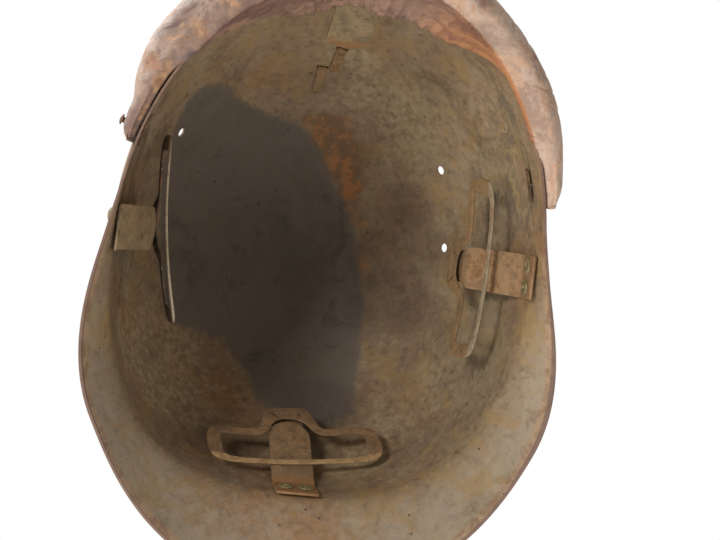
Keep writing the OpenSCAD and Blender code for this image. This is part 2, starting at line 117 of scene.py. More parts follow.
class FittingSizes(bpy.types.PropertyGroup):
    tongue_w: size("Tongue width", "Width of a spring tongue", 0.0212)
    tongue_t: size("Tongue sheet", "Thickness of a tongue", 0.0011)
    root_h: size("Root plate", "Height of the root plate", 0.015)
    blade: size("Blade", "Length of the blade above its bend", 0.044)
    side_slope: turn("Side slope", "Slope of the side blades from upright", 25)
    rear_slope: turn("Rear slope", "Slope of the rear blade from upright", 28.5)
    front_slope: turn("Front slope", "Slope of the front blade from upright", 38)
    side_lean: turn("Side lean", "Lean of the side tongues towards the nape", 3.5)
    blunt_r: size("Blunt end", "Radius of the round end of the side and front tongues", 0.0145)
    side_rivet: size("Side rivets", "Height of the side rivets", 0.026)
    rear_rivet: size("Rear rivets", "Height of the rear rivets", 0.039)
    front_rivet: size("Front rivets", "Height of the front rivets", 0.027)
    rivet_gap: size("Rivet gap", "Distance between the two rivets of a tongue", 0.010)
    rivet_d: size("Rivet head", "Diameter of a rivet head", 0.008)
    bar_gap: size("Bar gap", "Distance between the two bars of a liner frame", 0.021)
    frame_r: size("Frame curve", "Radius that a liner frame is curved to", 0.300)
    frame_t: size("Frame sheet", "Thickness of a liner frame", 0.001)
    side_lift: size("Side lift", "Lift of the two side frames on their tongues", 0.003)
    left_tilt: turn("Left tilt", "Tilt of the left frame off its tongue", 12)
    right_tilt: turn("Right tilt", "Tilt of the right frame off its tongue", 31)
    right_turn: turn("Right turn", "Turn of the right frame about its tongue", -8)
    rear_roll: turn("Rear roll", "Roll of the rear frame, which hangs askew on its tongue", 7)
    badge_d: size("Badge", "Diameter of the badge disc", 0.046)
    badge_tab_w: size("Badge tab width", "Width of a badge tab", 0.0052)
    badge_tab_l: size("Badge tab length", "Length of a badge tab", 0.017)


class FinishColours(bpy.types.PropertyGroup):
    khaki: paint("Khaki paint", "Worn olive paint of the shell", (0.475, 0.415, 0.325))
    khaki_brown: paint("Brown paint", "Paint of the shell where it has turned brown", (0.46, 0.37, 0.285))
    # The flare's paler paint also paints the light that falls on the flare
    flare: paint("Flare paint", "Paler paint of the flare", (0.575, 0.515, 0.44))
    rim_tan: paint("Rim", "Rubbed tan rim", (0.61, 0.49, 0.385))
    umber: paint("Bare umber", "Darkened steel where the paint is gone", (0.345, 0.315, 0.275))
    rust: paint("Rust", "Orange rust", (0.60, 0.39, 0.21))
    brown: paint("Brown rust", "Old brown rust", (0.395, 0.29, 0.205))
    flake: paint("Paint flakes", "Pale yellowish remains of paint", (0.60, 0.52, 0.37))
    leather: paint("Leather", "Worn leather of the bumper", (0.585, 0.49, 0.43))
    leather_dark: paint("Dark leather", "Creases and stains of the leather", (0.28, 0.19, 0.17))
    leather_tan: paint("Tan leather", "Rubbed places of the leather", (0.67, 0.52, 0.41))
    brass: paint("Brass", "Dull brass of the rivets", (0.44, 0.39, 0.25))
    floor: paint("Floor", "Plain pale floor", (0.86, 0.86, 0.85))
    wear: share("Wear", "Share of rust on the fittings", 0.5)


# Small sizes in metres: room between fitted sheets, radius of a tongue's bend, depth of a root plate's middle
# under its rivets, and how far back the side tongues stand
ROOM, BEND_R, ROOT_DROP, SIDE_Y = 0.0003, 0.005, 0.0015, 0.0034
# The badge: its middle across the brow, its depth under the crown, the room between its tabs, the step between
# its slots and the radius that it is dished to
BADGE_X, BADGE_DROP, TAB_ROOM, SLOT_STEP, DISH_R = 0.00245, 0.0415, 0.0021, 0.0124, 0.150
# Thickness of the sheet of a badge tab, and of a leg of a split pin; radius and height of a split pin's head
TAB_T, LEG_T, PIN_R, PIN_HEAD = 0.0009, 0.0009, 0.0025, 0.0011
# Height of a rivet's domed head, and its rolled end in mm: in from the edge, and up
RIVET_HEAD = 0.0024
RIVET_ROLL = [(0.2, 0), (0.1, 0.2), (0.4, 0.6), (1.0, 0.85), (1.8, 0.9), (2.3, 0.75), (2.7, 0.4), (2.8, 0),
              (2.8, -1.3)]
# Middle line of half a liner frame, from its lower bar to the top of its arch, in mm: across, along and half width
FRAME_LINE = [(0, 13.5, 1.6), (14, 13.5, 1.6), (28, 13.4, 1.7), (36, 14.0, 2.1), (40.2, 16.4, 3.1),
              (41.4, 21, 3.6), (41.4, 28, 3.6), (40.2, 32.6, 3.2), (36, 34.5, 2.5), (28, 34.5, 2.4),
              (20.5, 34.6, 2.4), (16.4, 35.3, 2.4), (13.8, 37.6, 2.5), (12.5, 40.6, 2.6), (10.6, 44.0, 3.2),
              (7.6, 48.3, 4.9), (3.8, 49.3, 4.3), (0, 49.4, 4.2)]
# Height of its lower bar, of its upper bar as the line gives it, and which points of the line that bar moves
LOW_BAR, HIGH_BAR, UPPER_BAR = 0.0135, 0.0345, slice(7, 10)

# A small hole rusted through the sheet: its place, radius and the reach of what cuts it
PINHOLE, PINHOLE_R, PINHOLE_CUT = (0.043, 0.092, 0.111), 0.0006, 0.005
# Slope of the vents' axes from upright, of the pinhole's, and the reach of what cuts a vent
VENT_SLOPE, PINHOLE_SLOPE, VENT_CUT = math.radians(50), math.radians(60), 0.008
# Outlines in plan, in mm, of the dark patch where the paint is gone and of the rust beside it
DARK = [(-71, -58), (-65, -65), (-54, -69), (-42, -63), (-28, -58), (-12, -56), (0, -49), (10, -37), (18, -26),
        (27, -17), (32, 0), (38, 18), (42, 38), (42, 60), (41, 80), (37, 95), (25, 103), (4, 104), (-9, 99),
        (-15, 93), (-23, 79), (-35, 69), (-54, 64), (-66, 57), (-75, 22), (-79, -16), (-77, -40)]
RUST = [(-6, -57), (5, -62), (18, -60), (31, -48), (37, -32), (35, -14), (38, 3), (43, 20), (33, 1), (26, -17),
        (10, -37)]
# Places inside, each a middle (x, y, z) and radius in mm, and a strength: painted shade, brown rust, painted light,
# flaking paint
# Painted shade: darker paint high on the left wall inside and on the wall behind the rear frame
PAINTED_SHADE = [(52, 18, 142, 30, 1.0), (60, 34, 132, 28, 0.9), (46, 40, 142, 24, 0.7), (66, 4, 124, 22, 0.8),
        (56, -12, 134, 26, 0.8), (70, 34, 116, 20, 0.5), (20, 96, 110, 32, 1.0), (-24, 110, 78, 15, 1.0),
        (-38, 104, 80, 13, 0.9), (22, 111, 80, 12, 0.8), (40, 106, 60, 12, 0.6)]
RUSTED = [(-52, 78, 118, 30, 0.5), (-30, 92, 112, 28, 0.7), (-66, 64, 112, 28, 0.4), (-90, 30, 60, 26, 0.4),
          (-6, 116, 60, 26, 0.6), (94, -4, 34, 22, 0.6), (98, -14, 18, 20, 0.6), (-99, 14, 34, 22, 0.5),
          (64, 88, 80, 26, 0.3), (-30, -76, 126, 26, 0.5), (-56, -68, 110, 22, 0.4), (40, -104, 20, 20, 0.5),
          (-40, 125, 21, 26, 0.6), (-18, 129, 22, 28, 0.7), (8, 136, 20, 28, 0.8), (34, 132, 20, 24, 0.5),
          (-93, 38, 66, 20, 0.9), (-88, 50, 84, 18, 0.7)]
# Painted light: paler paint where the walls inside catch the light
PAINTED_LIGHT = [(26, -77, 127, 30, 0.8), (43, -69, 124, 30, 0.9), (12, -91, 118, 24, 0.8), (50, -44, 134, 24, 0.5),
          (31, 99, 106, 22, 0.8), (33, 113, 76, 26, 1.0), (55, 94, 95, 30, 0.6), (72, 68, 96, 24, 0.4),
          (-86, 62, 80, 26, 0.9), (-74, 84, 84, 24, 0.9), (-93, 44, 78, 26, 0.9), (-62, 72, 116, 26, 0.9),
          (-76, 60, 106, 24, 0.8), (-42, 94, 110, 22, 0.8), (60, -60, 112, 20, 0.4), (-58, 92, 92, 28, 0.9)]
FLAKING = [(69, -85, 45, 24, 0.8), (79, -70, 40, 24, 1.0), (86, -56, 40, 26, 1.0), (88, -44, 58, 26, 1.0),
           (91, -36, 40, 24, 0.8), (84, -30, 80, 22, 0.7)]
# Places on the bumper rubbed to tan and orange, and dark purplish painted shade in the hollow between its swelling and
# the rim
TANNED = [(-91, -50, 8, 8, 1.0), (-90, -62, 5, 8, 0.9), (-86, -70, 4, 7, 0.7), (-77, -88, 6, 9, 0.9),
          (-72, -93, 10, 8, 0.8), (-64, -101, 6, 9, 0.9), (-48, -112, 8, 9, 0.6)]
# Painted shade: dark purplish patches in the hollow by the rim
HOLLOW_SHADE = [(-55, -98, 7, 12, 1.0), (-64, -91, 7, 9, 1.0), (-71, -84, 7, 8, 0.9), (-78, -76, 6, 7, 0.8),
           (-44, -106, 6, 11, 0.8), (-30, -112, 5, 10, 0.6)]

# Lamps: place, power in watts and diameter
LAMPS = {"key_lamp": ((-0.95, -0.5, -0.85), 12.0, 0.35), "side_lamp": ((-1.2, 0.25, -0.7), 6.0, 0.6),
         "low_lamp": ((-0.2, 1.15, -0.7), 15.5, 0.9), "far_lamp": ((1.1, 0.3, -0.8), 6.0, 0.9),
         "top_lamp": ((-0.7, -0.9, 1.3), 28.0, 0.9)}
LAMP_TARGET = np.array([0.0, 0.0, 0.07])
# Camera: focal length in mm, place, and the directions of its right, its top and its view
LENS, CAMERA_AT = 69.28, (-0.11590, -0.05371, -0.60813)
CAMERA_AXES = np.array([[0.97285, -0.13881, -0.18521], [-0.11729, -0.98551, 0.12253], [0.19953, 0.09748, 0.97503]])
FLOOR_W, FLOOR_Z = 6.0, -0.0003


# Shape functions: plain numpy, a is the angle from the brow towards +X

def smooth(v, low=0.0, high=1.0):
    """Smoothstep: 0 to 1 as v goes from low to high."""
    t = np.clip((v - low) / (high - low), 0.0, 1.0)
    return t * t * (3.0 - 2.0 * t)


def fold(a):
    """Degrees from the brow, 0 to 180 on both sides."""
    d = np.abs(np.degrees(a)) % 360.0
    return np.where(d > 180.0, 360.0 - d, d)


def unit(v):
    return v / np.maximum(np.linalg.norm(v, axis=-1, keepdims=True), 1e-12)


def left_of(path, axis):
    """Unit vectors square to a path of (u, v) pairs, on its left."""
    tang = unit(np.gradient(path, axis=axis))
    return np.stack([-tang[..., 1], tang[..., 0]], -1)


def waves(p, seed, scale):
    """Sum of seven sine waves in fixed directions at points p: a soft, even, repeatable unevenness between -1 and 1."""
    count, rng = 7, np.random.default_rng(seed)
    d = unit(rng.normal(size=(count, 3))) * rng.uniform(0.6, 1.7, (count, 1)) * 2.0 * math.pi / scale
    return np.sin(p @ d.T + rng.uniform(0, 6.28, count)).sum(-1) / count


def shift(x, y, z):
    return Matrix.Translation((x, y, z))


def spin(angle, axis):
    return Matrix.Rotation(angle, 4, axis)


class ShellForm:
    """The sheet of the shell: plan outline, rim, crease and flare as functions of a. The numbers given to smooth are
    angles from the brow, in degrees, between which a form changes."""

    def __init__(self, s):
        self.s = s

    def outline(self, a):
        """Plan outline at the crease: a superellipse of power 1.95 in front and 2.6 behind, wider on the right side
        that is bent out, and its outward normal."""
        s = self.s
        front = np.cos(a) > 0
        w = s.half_w + s.right_spread * (np.sin(a) < 0)
        b, n = np.where(front, s.brow_reach, s.nape_reach), np.where(front, 1.95, 2.6)
        r = (np.abs(np.sin(a) / w) ** n + np.abs(np.cos(a) / b) ** n) ** (-1.0 / n)
        x, y = r * np.sin(a), -r * np.cos(a)
        g = np.stack([np.sign(x) * np.abs(x / w) ** (n - 1) / w, np.sign(y) * np.abs(y / b) ** (n - 1) / b], -1)
        return np.stack([x, y], -1), unit(g)

    def outward_level(self, a):
        """The outline's normal as a level vector in space."""
        _, n = self.outline(a)
        return np.concatenate([n, 0 * n[..., :1]], -1)

    def rim(self, a):
        """Height of the rim: it falls from the brow to the floor at 150 degrees, and rises over the ears."""
        s, d = self.s, fold(a)
        return s.brow_rim * (1 - smooth(d, 0, 150)) + s.ear_rise * smooth(d, 20, 80) * (1 - smooth(d, 95, 140))

    def crease(self, a):
        """Height of the crease: it climbs from the ears to the nape."""
        s = self.s
        return s.ear_crease + (s.nape_crease - s.ear_crease) * smooth(fold(a), 80, 160)

    def flare(self, a):
        """Reach of the flare at the rim, of which the bent right side gives up 85 percent of its spread."""
        s, d = self.s, fold(a)
        side = s.side_flare - 0.85 * s.right_spread * (np.sin(a) < 0)
        return side * smooth(d, 76, 132) + (s.nape_flare - side) * smooth(d, 132, 180)

    def power(self, a):
        """Power of the dome's upright arc: 2.1 at the brow, 2.3 at the ears, 2.05 at the nape."""
        d = fold(a)
        return np.where(d < 90, 2.1 + 0.2 * smooth(d, 0, 90), 2.3 - 0.25 * smooth(d, 90, 180))

    def shrink(self, a, z):
        """How far the outline has shrunk at height z: a superellipse arc from crease to crown."""
        p, c = self.power(a), self.crease(a)
        q = np.clip((z - c) / (self.s.crown_h - c), 0, 1)
        return (1 - q ** p) ** (1 / p)

    def wall(self, a, z, u=0.0):
        """Point of the outer wall at angle a and height z, moved out level by u."""
        a, z = np.asarray(a), np.asarray(z)
        o, n = self.outline(a)
        p = o * self.shrink(a, z)[..., None] + n * np.asarray(u)[..., None]
        return np.concatenate([p, (z + 0 * a)[..., None]], -1)

    def stand(self, a, z):
        """Matrix on the outer wall at angle a and height z, whose +Y points in level and +Z up."""
        _, n = self.outline(a)
        return shift(*self.wall(a, z)) @ spin(math.atan2(n[1], n[0]) + math.radians(90), "Z")

    def dome(self, a, t):
        """Dome: the outline shrinks towards the crown as t goes from 0 at the crease to 1."""
        o, _ = self.outline(a)
        p, c = self.power(a), self.crease(a)
        q = np.sin(0.5 * math.pi * t) ** (2 / p)
        f = np.maximum(np.cos(0.5 * math.pi * t), 0) ** (2 / p)
        return np.concatenate([o * f[..., None], (c + q * (self.s.crown_h - c))[..., None]], -1)

    def skirt(self, a, k):
        """Skirt: upright at the crease, through a soft knee at 0.12 into a straight flare, k from 0 to 1 at the rim."""
        o, n = self.outline(a)
        knee = lambda v: (v - 0.12) + np.sqrt((v - 0.12) ** 2 + 0.01)
        spread = (knee(k) - knee(0.0)) / (knee(1.0) - knee(0.0))
        p = o + n * (self.flare(a) * spread)[..., None]
        return np.concatenate([p, (self.crease(a) - k * (self.crease(a) - self.rim(a)))[..., None]], -1)


# Mesh builders

def quads(rows, cols, first, wrap):
    """Corner numbers of a grid of quads, closed round in columns if wrap."""
    r, c = np.meshgrid(np.arange(rows - 1), np.arange(cols if wrap else cols - 1), indexing="ij")
    a = first + r * cols + c
    b = first + r * cols + (c + 1) % cols
    return np.stack([a, b, b + cols, a + cols], -1).reshape(-1, 4)


def linked(name, data):
    obj = bpy.data.objects.new(name, data)
    bpy.context.scene.collection.objects.link(obj)
    return obj


def read_points(mesh, key):
    """Three numbers for each point of a mesh: its place for co, its direction for normal."""
    v = np.empty(len(mesh.vertices) * 3, np.float32)
    mesh.vertices.foreach_get(key, v)
    return v.reshape(-1, 3).astype(float)


def keep_value(mesh, key, v):
    """Keeps one number, or three, for each point of a mesh, where the materials read them."""
    kind, field = ("FLOAT_VECTOR", "vector") if np.size(v) > len(mesh.vertices) else ("FLOAT", "value")
    mesh.attributes.new(key, kind, "POINT").data.foreach_set(field, np.asarray(v, np.float32).ravel())


def new_piece(name, points, faces, values=None):
    """A mesh object from points and faces, smooth shaded; values are extra numbers kept on its points."""
    mesh = bpy.data.meshes.new(name)
    mesh.from_pydata(points.reshape(-1, 3).tolist(), [], faces)
    mesh.polygons.foreach_set("use_smooth", np.ones(len(mesh.polygons), bool))
    for key, v in (values or {}).items():
        keep_value(mesh, key, v)
    mesh.validate()
    mesh.update()
    return linked(name, mesh)


def outward(obj):
    """Turns a closed mesh inside out if its volume comes out negative."""
    me = obj.data
    me.calc_loop_triangles()
    t = np.empty(len(me.loop_triangles) * 3, int)
    me.loop_triangles.foreach_get("vertices", t)
    v, t = read_points(me, "co"), t.reshape(-1, 3)
    v = v - v.mean(0)
    if np.einsum("ij,ij->i", v[t[:, 0]], np.cross(v[t[:, 1]], v[t[:, 2]])).sum() < 0:
        me.flip_normals()
    return obj


def sheet_solid(name, front, back, values):
    """A closed sheet from two grids of points: both faces, and walls along their four edges. Both faces keep the
    values, one for each point of a grid."""
    rows, cols = front.shape[:2]
    n, along, down = rows * cols, np.arange(cols - 1), np.arange(rows - 1) * cols
    faces = [quads(rows, cols, 0, False), quads(rows, cols, n, False)[:, ::-1]]
    for a, step, flip in ((along, 1, True), (n - cols + along, 1, False), (down, cols, False),
                          (down + cols - 1, cols, True)):
        q = np.stack([a, a + step, n + a + step, n + a], -1)
        faces.append(q[:, ::-1] if flip else q)
    both = {key: np.concatenate([v, v]) for key, v in values.items()}
    return outward(new_piece(name, np.concatenate([front, back]), np.concatenate(faces).tolist(), both))


def tube_solid(points, loops_closed=False):
    """Points and faces of a closed section carried along a path: rows are stations, each a closed loop of points.
    The two end loops are filled with a fan, or joined to each other if loops_closed."""
    rows, cols = points.shape[:2]
    n, last, c = rows * cols, (rows - 1) * cols, np.arange(cols)
    d = (c + 1) % cols
    pts, faces = points.reshape(-1, 3), quads(rows, cols, 0, True).tolist()
    if loops_closed:
        return pts, faces + np.stack([last + c, last + d, d, c], -1).tolist()
    for a, b, middle in ((d, c, n), (last + c, last + d, n + 1)):
        faces += np.stack([a, b, np.full(cols, middle)], -1).tolist()
    return np.concatenate([pts, [points[0].mean(0), points[-1].mean(0)]]), faces


def joined(name, parts, values=None):
    """One piece out of several closed point and face lists: poles and seams merged, faces turned out."""
    pts, faces, first = [], [], 0
    for p, f in parts:
        pts.append(p)
        faces += [[i + first for i in face] for face in f]
        first += len(p)
    obj = new_piece(name, np.concatenate(pts), faces, values)
    bm = bmesh.new()
    bm.from_mesh(obj.data)
    bmesh.ops.remove_doubles(bm, verts=bm.verts, dist=1e-7)
    bmesh.ops.recalc_face_normals(bm, faces=bm.faces)
    bm.to_mesh(obj.data)
    bm.free()
    return obj


def placed(part, move):
    """A point and face list moved by a 4 by 4 matrix."""
    m = np.array(move)
    return part[0] @ m[:3, :3].T + m[:3, 3], part[1]


def turned(profile, segments=48):
    """A profile of (radius, height) pairs turned about Z; a first or last radius of 0 becomes a closed pole."""
    t = np.linspace(0, 2 * math.pi, segments, endpoint=False)
    r, h = np.array(profile).T
    return tube_solid(np.stack([r[:, None] * np.cos(t), r[:, None] * np.sin(t), h[:, None] + 0 * t], -1))


def rod(radius, reach, segments):
    """A closed rod along Z, from -reach to reach."""
    return turned([(0, -reach), (radius, -reach), (radius, reach), (0, reach)], segments)


def domed(radius, height, z=0.0):
    """Profile of a domed head, from its pole at z + height out to its edge at z."""
    t = np.radians(np.arange(80, -1, -10))
    return [(0, z + height)] + [(radius * math.cos(v), z + height * math.sin(v)) for v in t]


def rounded_section(half_w, half_t, r, corner=4):
    """Closed rounded rectangle sections, one for each half width: arrays of across and through values."""
    half_w = np.atleast_1d(half_w)[:, None]
    t = np.radians(np.concatenate([np.linspace(k, k + 90, corner + 1) for k in (0, 90, 180, 270)]))[None, :]
    sx, sy = (np.repeat(signs, corner + 1)[None, :] for signs in ([1, -1, -1, 1], [1, 1, -1, -1]))
    rr = np.minimum(r, half_w)
    return sx * (half_w - rr) + rr * np.cos(t), sy * (half_t - r) + r * np.sin(t) + 0 * half_w


def strip(path, half_w, thick, edge):
    """A flat strip bent along a path of (y, z) pairs in the plane x = 0, its rounded section square to the path."""
    path = np.asarray(path, float)
    across, through = rounded_section(np.broadcast_to(half_w, len(path)), thick / 2, edge)
    yz = path[:, None, :] + left_of(path, 0)[:, None, :] * through[..., None]
    return tube_solid(np.concatenate([across[..., None], yz], -1))


def smooth_path(points, count, closed=False):
    """A Catmull-Rom curve through the points, at count even steps of its parameter."""
    p = np.asarray(points, float)
    n = len(p)
    t = np.linspace(0, n if closed else n - 1, count, endpoint=not closed)
    i = np.minimum(t.astype(int), n - 1 if closed else n - 2)
    f = (t - i)[:, None]
    at = lambda k: p[(i + k) % n] if closed else p[np.clip(i + k, 0, n - 1)]
    a, b, c, d = at(-1), at(0), at(1), at(2)
    return 0.5 * (2 * b + (c - a) * f + (2 * a - 5 * b + 4 * c - d) * f ** 2 + (3 * b - a - 3 * c + d) * f ** 3)


# The shell

def shell_points(form, cols=300, dome_rows=86, skirt_rows=40, blend=6):
    """Outer and inner faces of the sheet as grids, from a ring close to the crown down to the rim. The inner face is
    the outer one moved in along the normal, and level in the skirt, so that the rim stays flat; one way goes over
    into the other in a few rows, and the dents fade in as many at the rim."""
    s = form.s
    a = np.linspace(0, 2 * math.pi, cols, endpoint=False)[None, :]
    t = np.concatenate([[0.9985, 0.993], np.linspace(0.985, 0, dome_rows - 2)])[:, None]
    k = (np.arange(1, skirt_rows + 1)[:, None] / skirt_rows) ** 1.15
    whole = np.concatenate([form.dome(a + 0 * t, t + 0 * a), form.skirt(a + 0 * k, k + 0 * a)])
    along = np.roll(whole, -1, 1) - np.roll(whole, 1, 1)
    n = unit(np.cross(np.gradient(whole, axis=0), along))
    n = n * np.sign((n * (whole - [0, 0, 0.01])).sum(-1))[..., None]
    level, least = form.outward_level(a), 0.3
    run = s.sheet / np.maximum(np.linalg.norm(n[..., :2], axis=-1, keepdims=True), least)
    mix = np.concatenate([np.zeros(dome_rows - blend), np.linspace(0, 1, blend), np.ones(skirt_rows)])[:, None, None]
    inner = whole - n * s.sheet * (1 - mix) - level * run * mix
    dents = s.dent * (waves(whole, 3, 0.075) + 0.5 * waves(whole, 4, 0.03))[..., None]
    keep = np.concatenate([np.ones(dome_rows + skirt_rows - blend), np.linspace(1, 0, blend)])[:, None, None]
    moved = n * dents * keep
    return whole + moved, inner + moved


def patches(p, spots):
    """Soft round patches at (x, y, z) with radius r, in mm: the strength in the middle, 0 at the radius and beyond."""
    out = np.zeros(p.shape[:-1])
    for x, y, z, r, strength in spots:
        d = np.linalg.norm(p - np.array([x, y, z]) * 0.001, axis=-1) / (r * 0.001)
        out = np.maximum(out, strength * np.clip(1 - d * d, 0, 1))
    return out


def inside_by(p, ring):
    """Distance in mm from points p, seen in plan, to a closed outline: positive inside it, negative outside."""
    q, a = p[:, :2] * 1000.0, np.array(ring, float)
    b = np.roll(a, -1, 0)
    near, crossings = np.full(len(q), 1e9), np.zeros(len(q), int)
    for s, e in zip(a, b):
        t = np.clip(((q - s) @ (e - s)) / ((e - s) @ (e - s)), 0, 1)
        near = np.minimum(near, np.linalg.norm(q - s - t[:, None] * (e - s), axis=1))
        cuts = (s[1] > q[:, 1]) != (e[1] > q[:, 1])
        x = s[0] + (q[:, 1] - s[1]) * (e[0] - s[0]) / (e[1] - s[1] if e[1] != s[1] else 1.0)
        crossings += cuts & (q[:, 0] < x)
    return np.where(crossings % 2 == 1, near, -near)


def shell_cutters(form, f):
    """What is cut out of the sheet: four sloping vents, the pinhole and the two slots of the badge."""
    s = form.s
    vent, slant = rod(s.vent / 2, VENT_CUT, 40), spin(VENT_SLOPE, "X")
    parts = [placed(vent, form.stand(side * a, s.vent_z) @ slant)
             for side in (1, -1) for a in (s.front_vent, s.rear_vent)]
    x, y, _ = PINHOLE
    out = spin(math.atan2(x, -y), "Z") @ spin(PINHOLE_SLOPE, "X")
    parts.append(placed(rod(PINHOLE_R, PINHOLE_CUT, 12), shift(*PINHOLE) @ out))
    half = np.array([f.badge_tab_w / 2 + 0.0005, 0.0045, 0.00095])
    corners = half * [(x, y, z) for z in (-1, 1) for x, y in ((-1, -1), (1, -1), (1, 1), (-1, 1))]
    sides = [[0, 1, 5, 4], [1, 2, 6, 5], [2, 3, 7, 6], [3, 0, 4, 7], [3, 2, 1, 0], [4, 5, 6, 7]]
    return parts + [placed((corners, sides), on_brow(form, x, z)) for x, z in badge_slots(form, f)]


def make_shell(form, f):
    """The pressed sheet: both faces joined by a rounded rim and closed at the crown, with its holes cut."""
    outer, inner = shell_points(form)
    middle, rounding, crown_rise = (outer[-1] + inner[-1]) / 2, 0.00025, 1e-5
    low = [edge + (middle - edge) * 0.3 for edge in (outer[-1], inner[-1])]
    for face in (outer, inner):
        face[-1, :, 2] += rounding
    pts, faces = tube_solid(np.concatenate([outer, low, inner[::-1]]))
    pts[-2:, 2] += crown_rise
    obj = outward(new_piece("helmet_shell", pts, faces))
    cutter = joined("cutter", shell_cutters(form, f))
    cut = obj.modifiers.new("cut", "BOOLEAN")
    cut.operation, cut.solver, cut.object = "DIFFERENCE", "EXACT", cutter
    bpy.context.view_layer.update()
    done = bpy.data.meshes.new_from_object(obj.evaluated_get(bpy.context.evaluated_depsgraph_get()))
    obj.modifiers.clear()
    old, obj.data = obj.data, done
    bpy.data.meshes.remove(old)
    bpy.data.objects.remove(cutter)
    done.polygons.foreach_set("use_smooth", np.ones(len(done.polygons), bool))
    done.set_sharp_from_angle(angle=math.radians(38))
    paint_shell(form, done)
    return obj


def paint_shell(form, mesh):
    """Numbers kept on the sheet for its paint: distance from the rim and under the crease, and the places inside of
    painted shade, rust, painted light and flaking paint. The outside is rusted in soft waves."""
    p, n = read_points(mesh, "co"), read_points(mesh, "normal")
    inside = ((n * (p - [0, 0, 0.01])).sum(-1) < 0).astype(float)
    a = np.arctan2(p[:, 0], -p[:, 1])
    rim, crease = form.rim(a), form.crease(a)
    slant = np.hypot(1.0, form.flare(a) / np.maximum(crease - rim, 1e-3))
    keep_value(mesh, "from_rim", (p[:, 2] - rim) * slant)
    keep_value(mesh, "skirt", (crease - p[:, 2]) * slant * smooth(fold(a), 70, 100) * 100 * inside)
    high = (inside > 0) & (p[:, 2] > 0.06)
    for key, ring in (("bare", DARK), ("orange", RUST)):
        keep_value(mesh, key, np.clip(np.where(high, inside_by(p, ring), -30) / 10, -3, 3))
    outside = 0.35 * (1 - inside) * smooth(0.5 + waves(p, 11, 0.09))
    for key, spots in (("painted_shade", PAINTED_SHADE), ("rusted", RUSTED), ("painted_light", PAINTED_LIGHT), ("flaking", FLAKING)):
        keep_value(mesh, key, patches(p, spots) * inside + outside * (key == "rusted"))


# Places on the shell

def on_wall(form, f, side):
    """Matrix whose +Y points from the inner wall to the head and +Z up; a side tongue leans to the nape about its
    rivets."""
    s, h = form.s, rivet_z(f, side)
    x, y, z, lean = {"front": (0, -(s.brow_reach - s.sheet), 0, 0), "rear": (0, s.nape_reach - s.sheet, 180, 0),
                     "left": (s.half_w - s.sheet, SIDE_Y, 90, f.side_lean),
                     "right": (-(s.half_w + s.right_spread - s.sheet), SIDE_Y, -90, -f.side_lean)}[side]
    return shift(x, y, h) @ spin(math.radians(z), "Z") @ spin(lean, "Y") @ shift(0, 0, -h)


def on_brow(form, x, z):
    """Matrix on the outer brow wall whose +Y points in and +Z up along the wall."""
    a = math.asin(x / (form.s.brow_reach * float(form.shrink(0.0, z))))
    run = 0.005
    lean = math.atan2(form.wall(0.0, z + run)[1] - form.wall(0.0, z - run)[1], 2 * run)
    return form.stand(a, z) @ spin(-lean, "X")


def badge_slots(form, f):
    """Places of the two slots of the badge: across the brow and height."""
    z, apart = form.s.crown_h - BADGE_DROP, (f.badge_tab_w + TAB_ROOM) / 2
    return (BADGE_X + apart, z - SLOT_STEP / 2), (BADGE_X - apart, z + SLOT_STEP / 2)


def rivet_z(f, side):
    return {"front": f.front_rivet, "rear": f.rear_rivet}.get(side, f.side_rivet)


def slope(f, side):
    return {"front": f.front_slope, "rear": f.rear_slope}.get(side, f.side_slope)


def plate_gap(form, f, side):
    """Distance of the flat root plate from the middle of the curved wall, so that its corners clear it."""
    s = form.s
    lean = math.sin(f.side_lean) if side in ("left", "right") else 0.0
    h, z = f.tongue_w / 2 + f.root_h / 2 * lean, rivet_z(f, side) + f.root_h / 2 + f.tongue_w / 2 * lean
    w, sign = s.half_w + s.right_spread * (side == "right"), -1 if side == "right" else 1
    a = {"front": math.atan2(h, s.brow_reach), "rear": math.pi - math.atan2(h, s.nape_reach)}.get(
        side, sign * (math.pi / 2 + math.atan2(SIDE_Y + h, w)))
    p = form.wall(a, z)
    sag = {"front": s.brow_reach + p[1], "rear": s.nape_reach - p[1]}.get(side, w - abs(p[0]))
    return ROOM + float(sag)


def on_blade(form, f, side):
    """Matrix in the blade: +X across, +Z along it from the bend, +Y to the head."""
    a = slope(f, side)
    y = plate_gap(form, f, side) + f.tongue_t / 2 + BEND_R * (1 - math.cos(a))
    z = rivet_z(f, side) + f.root_h / 2 - ROOT_DROP + BEND_R * math.sin(a)
    return on_wall(form, f, side) @ shift(0, y, z) @ spin(-a, "X")


# Fittings

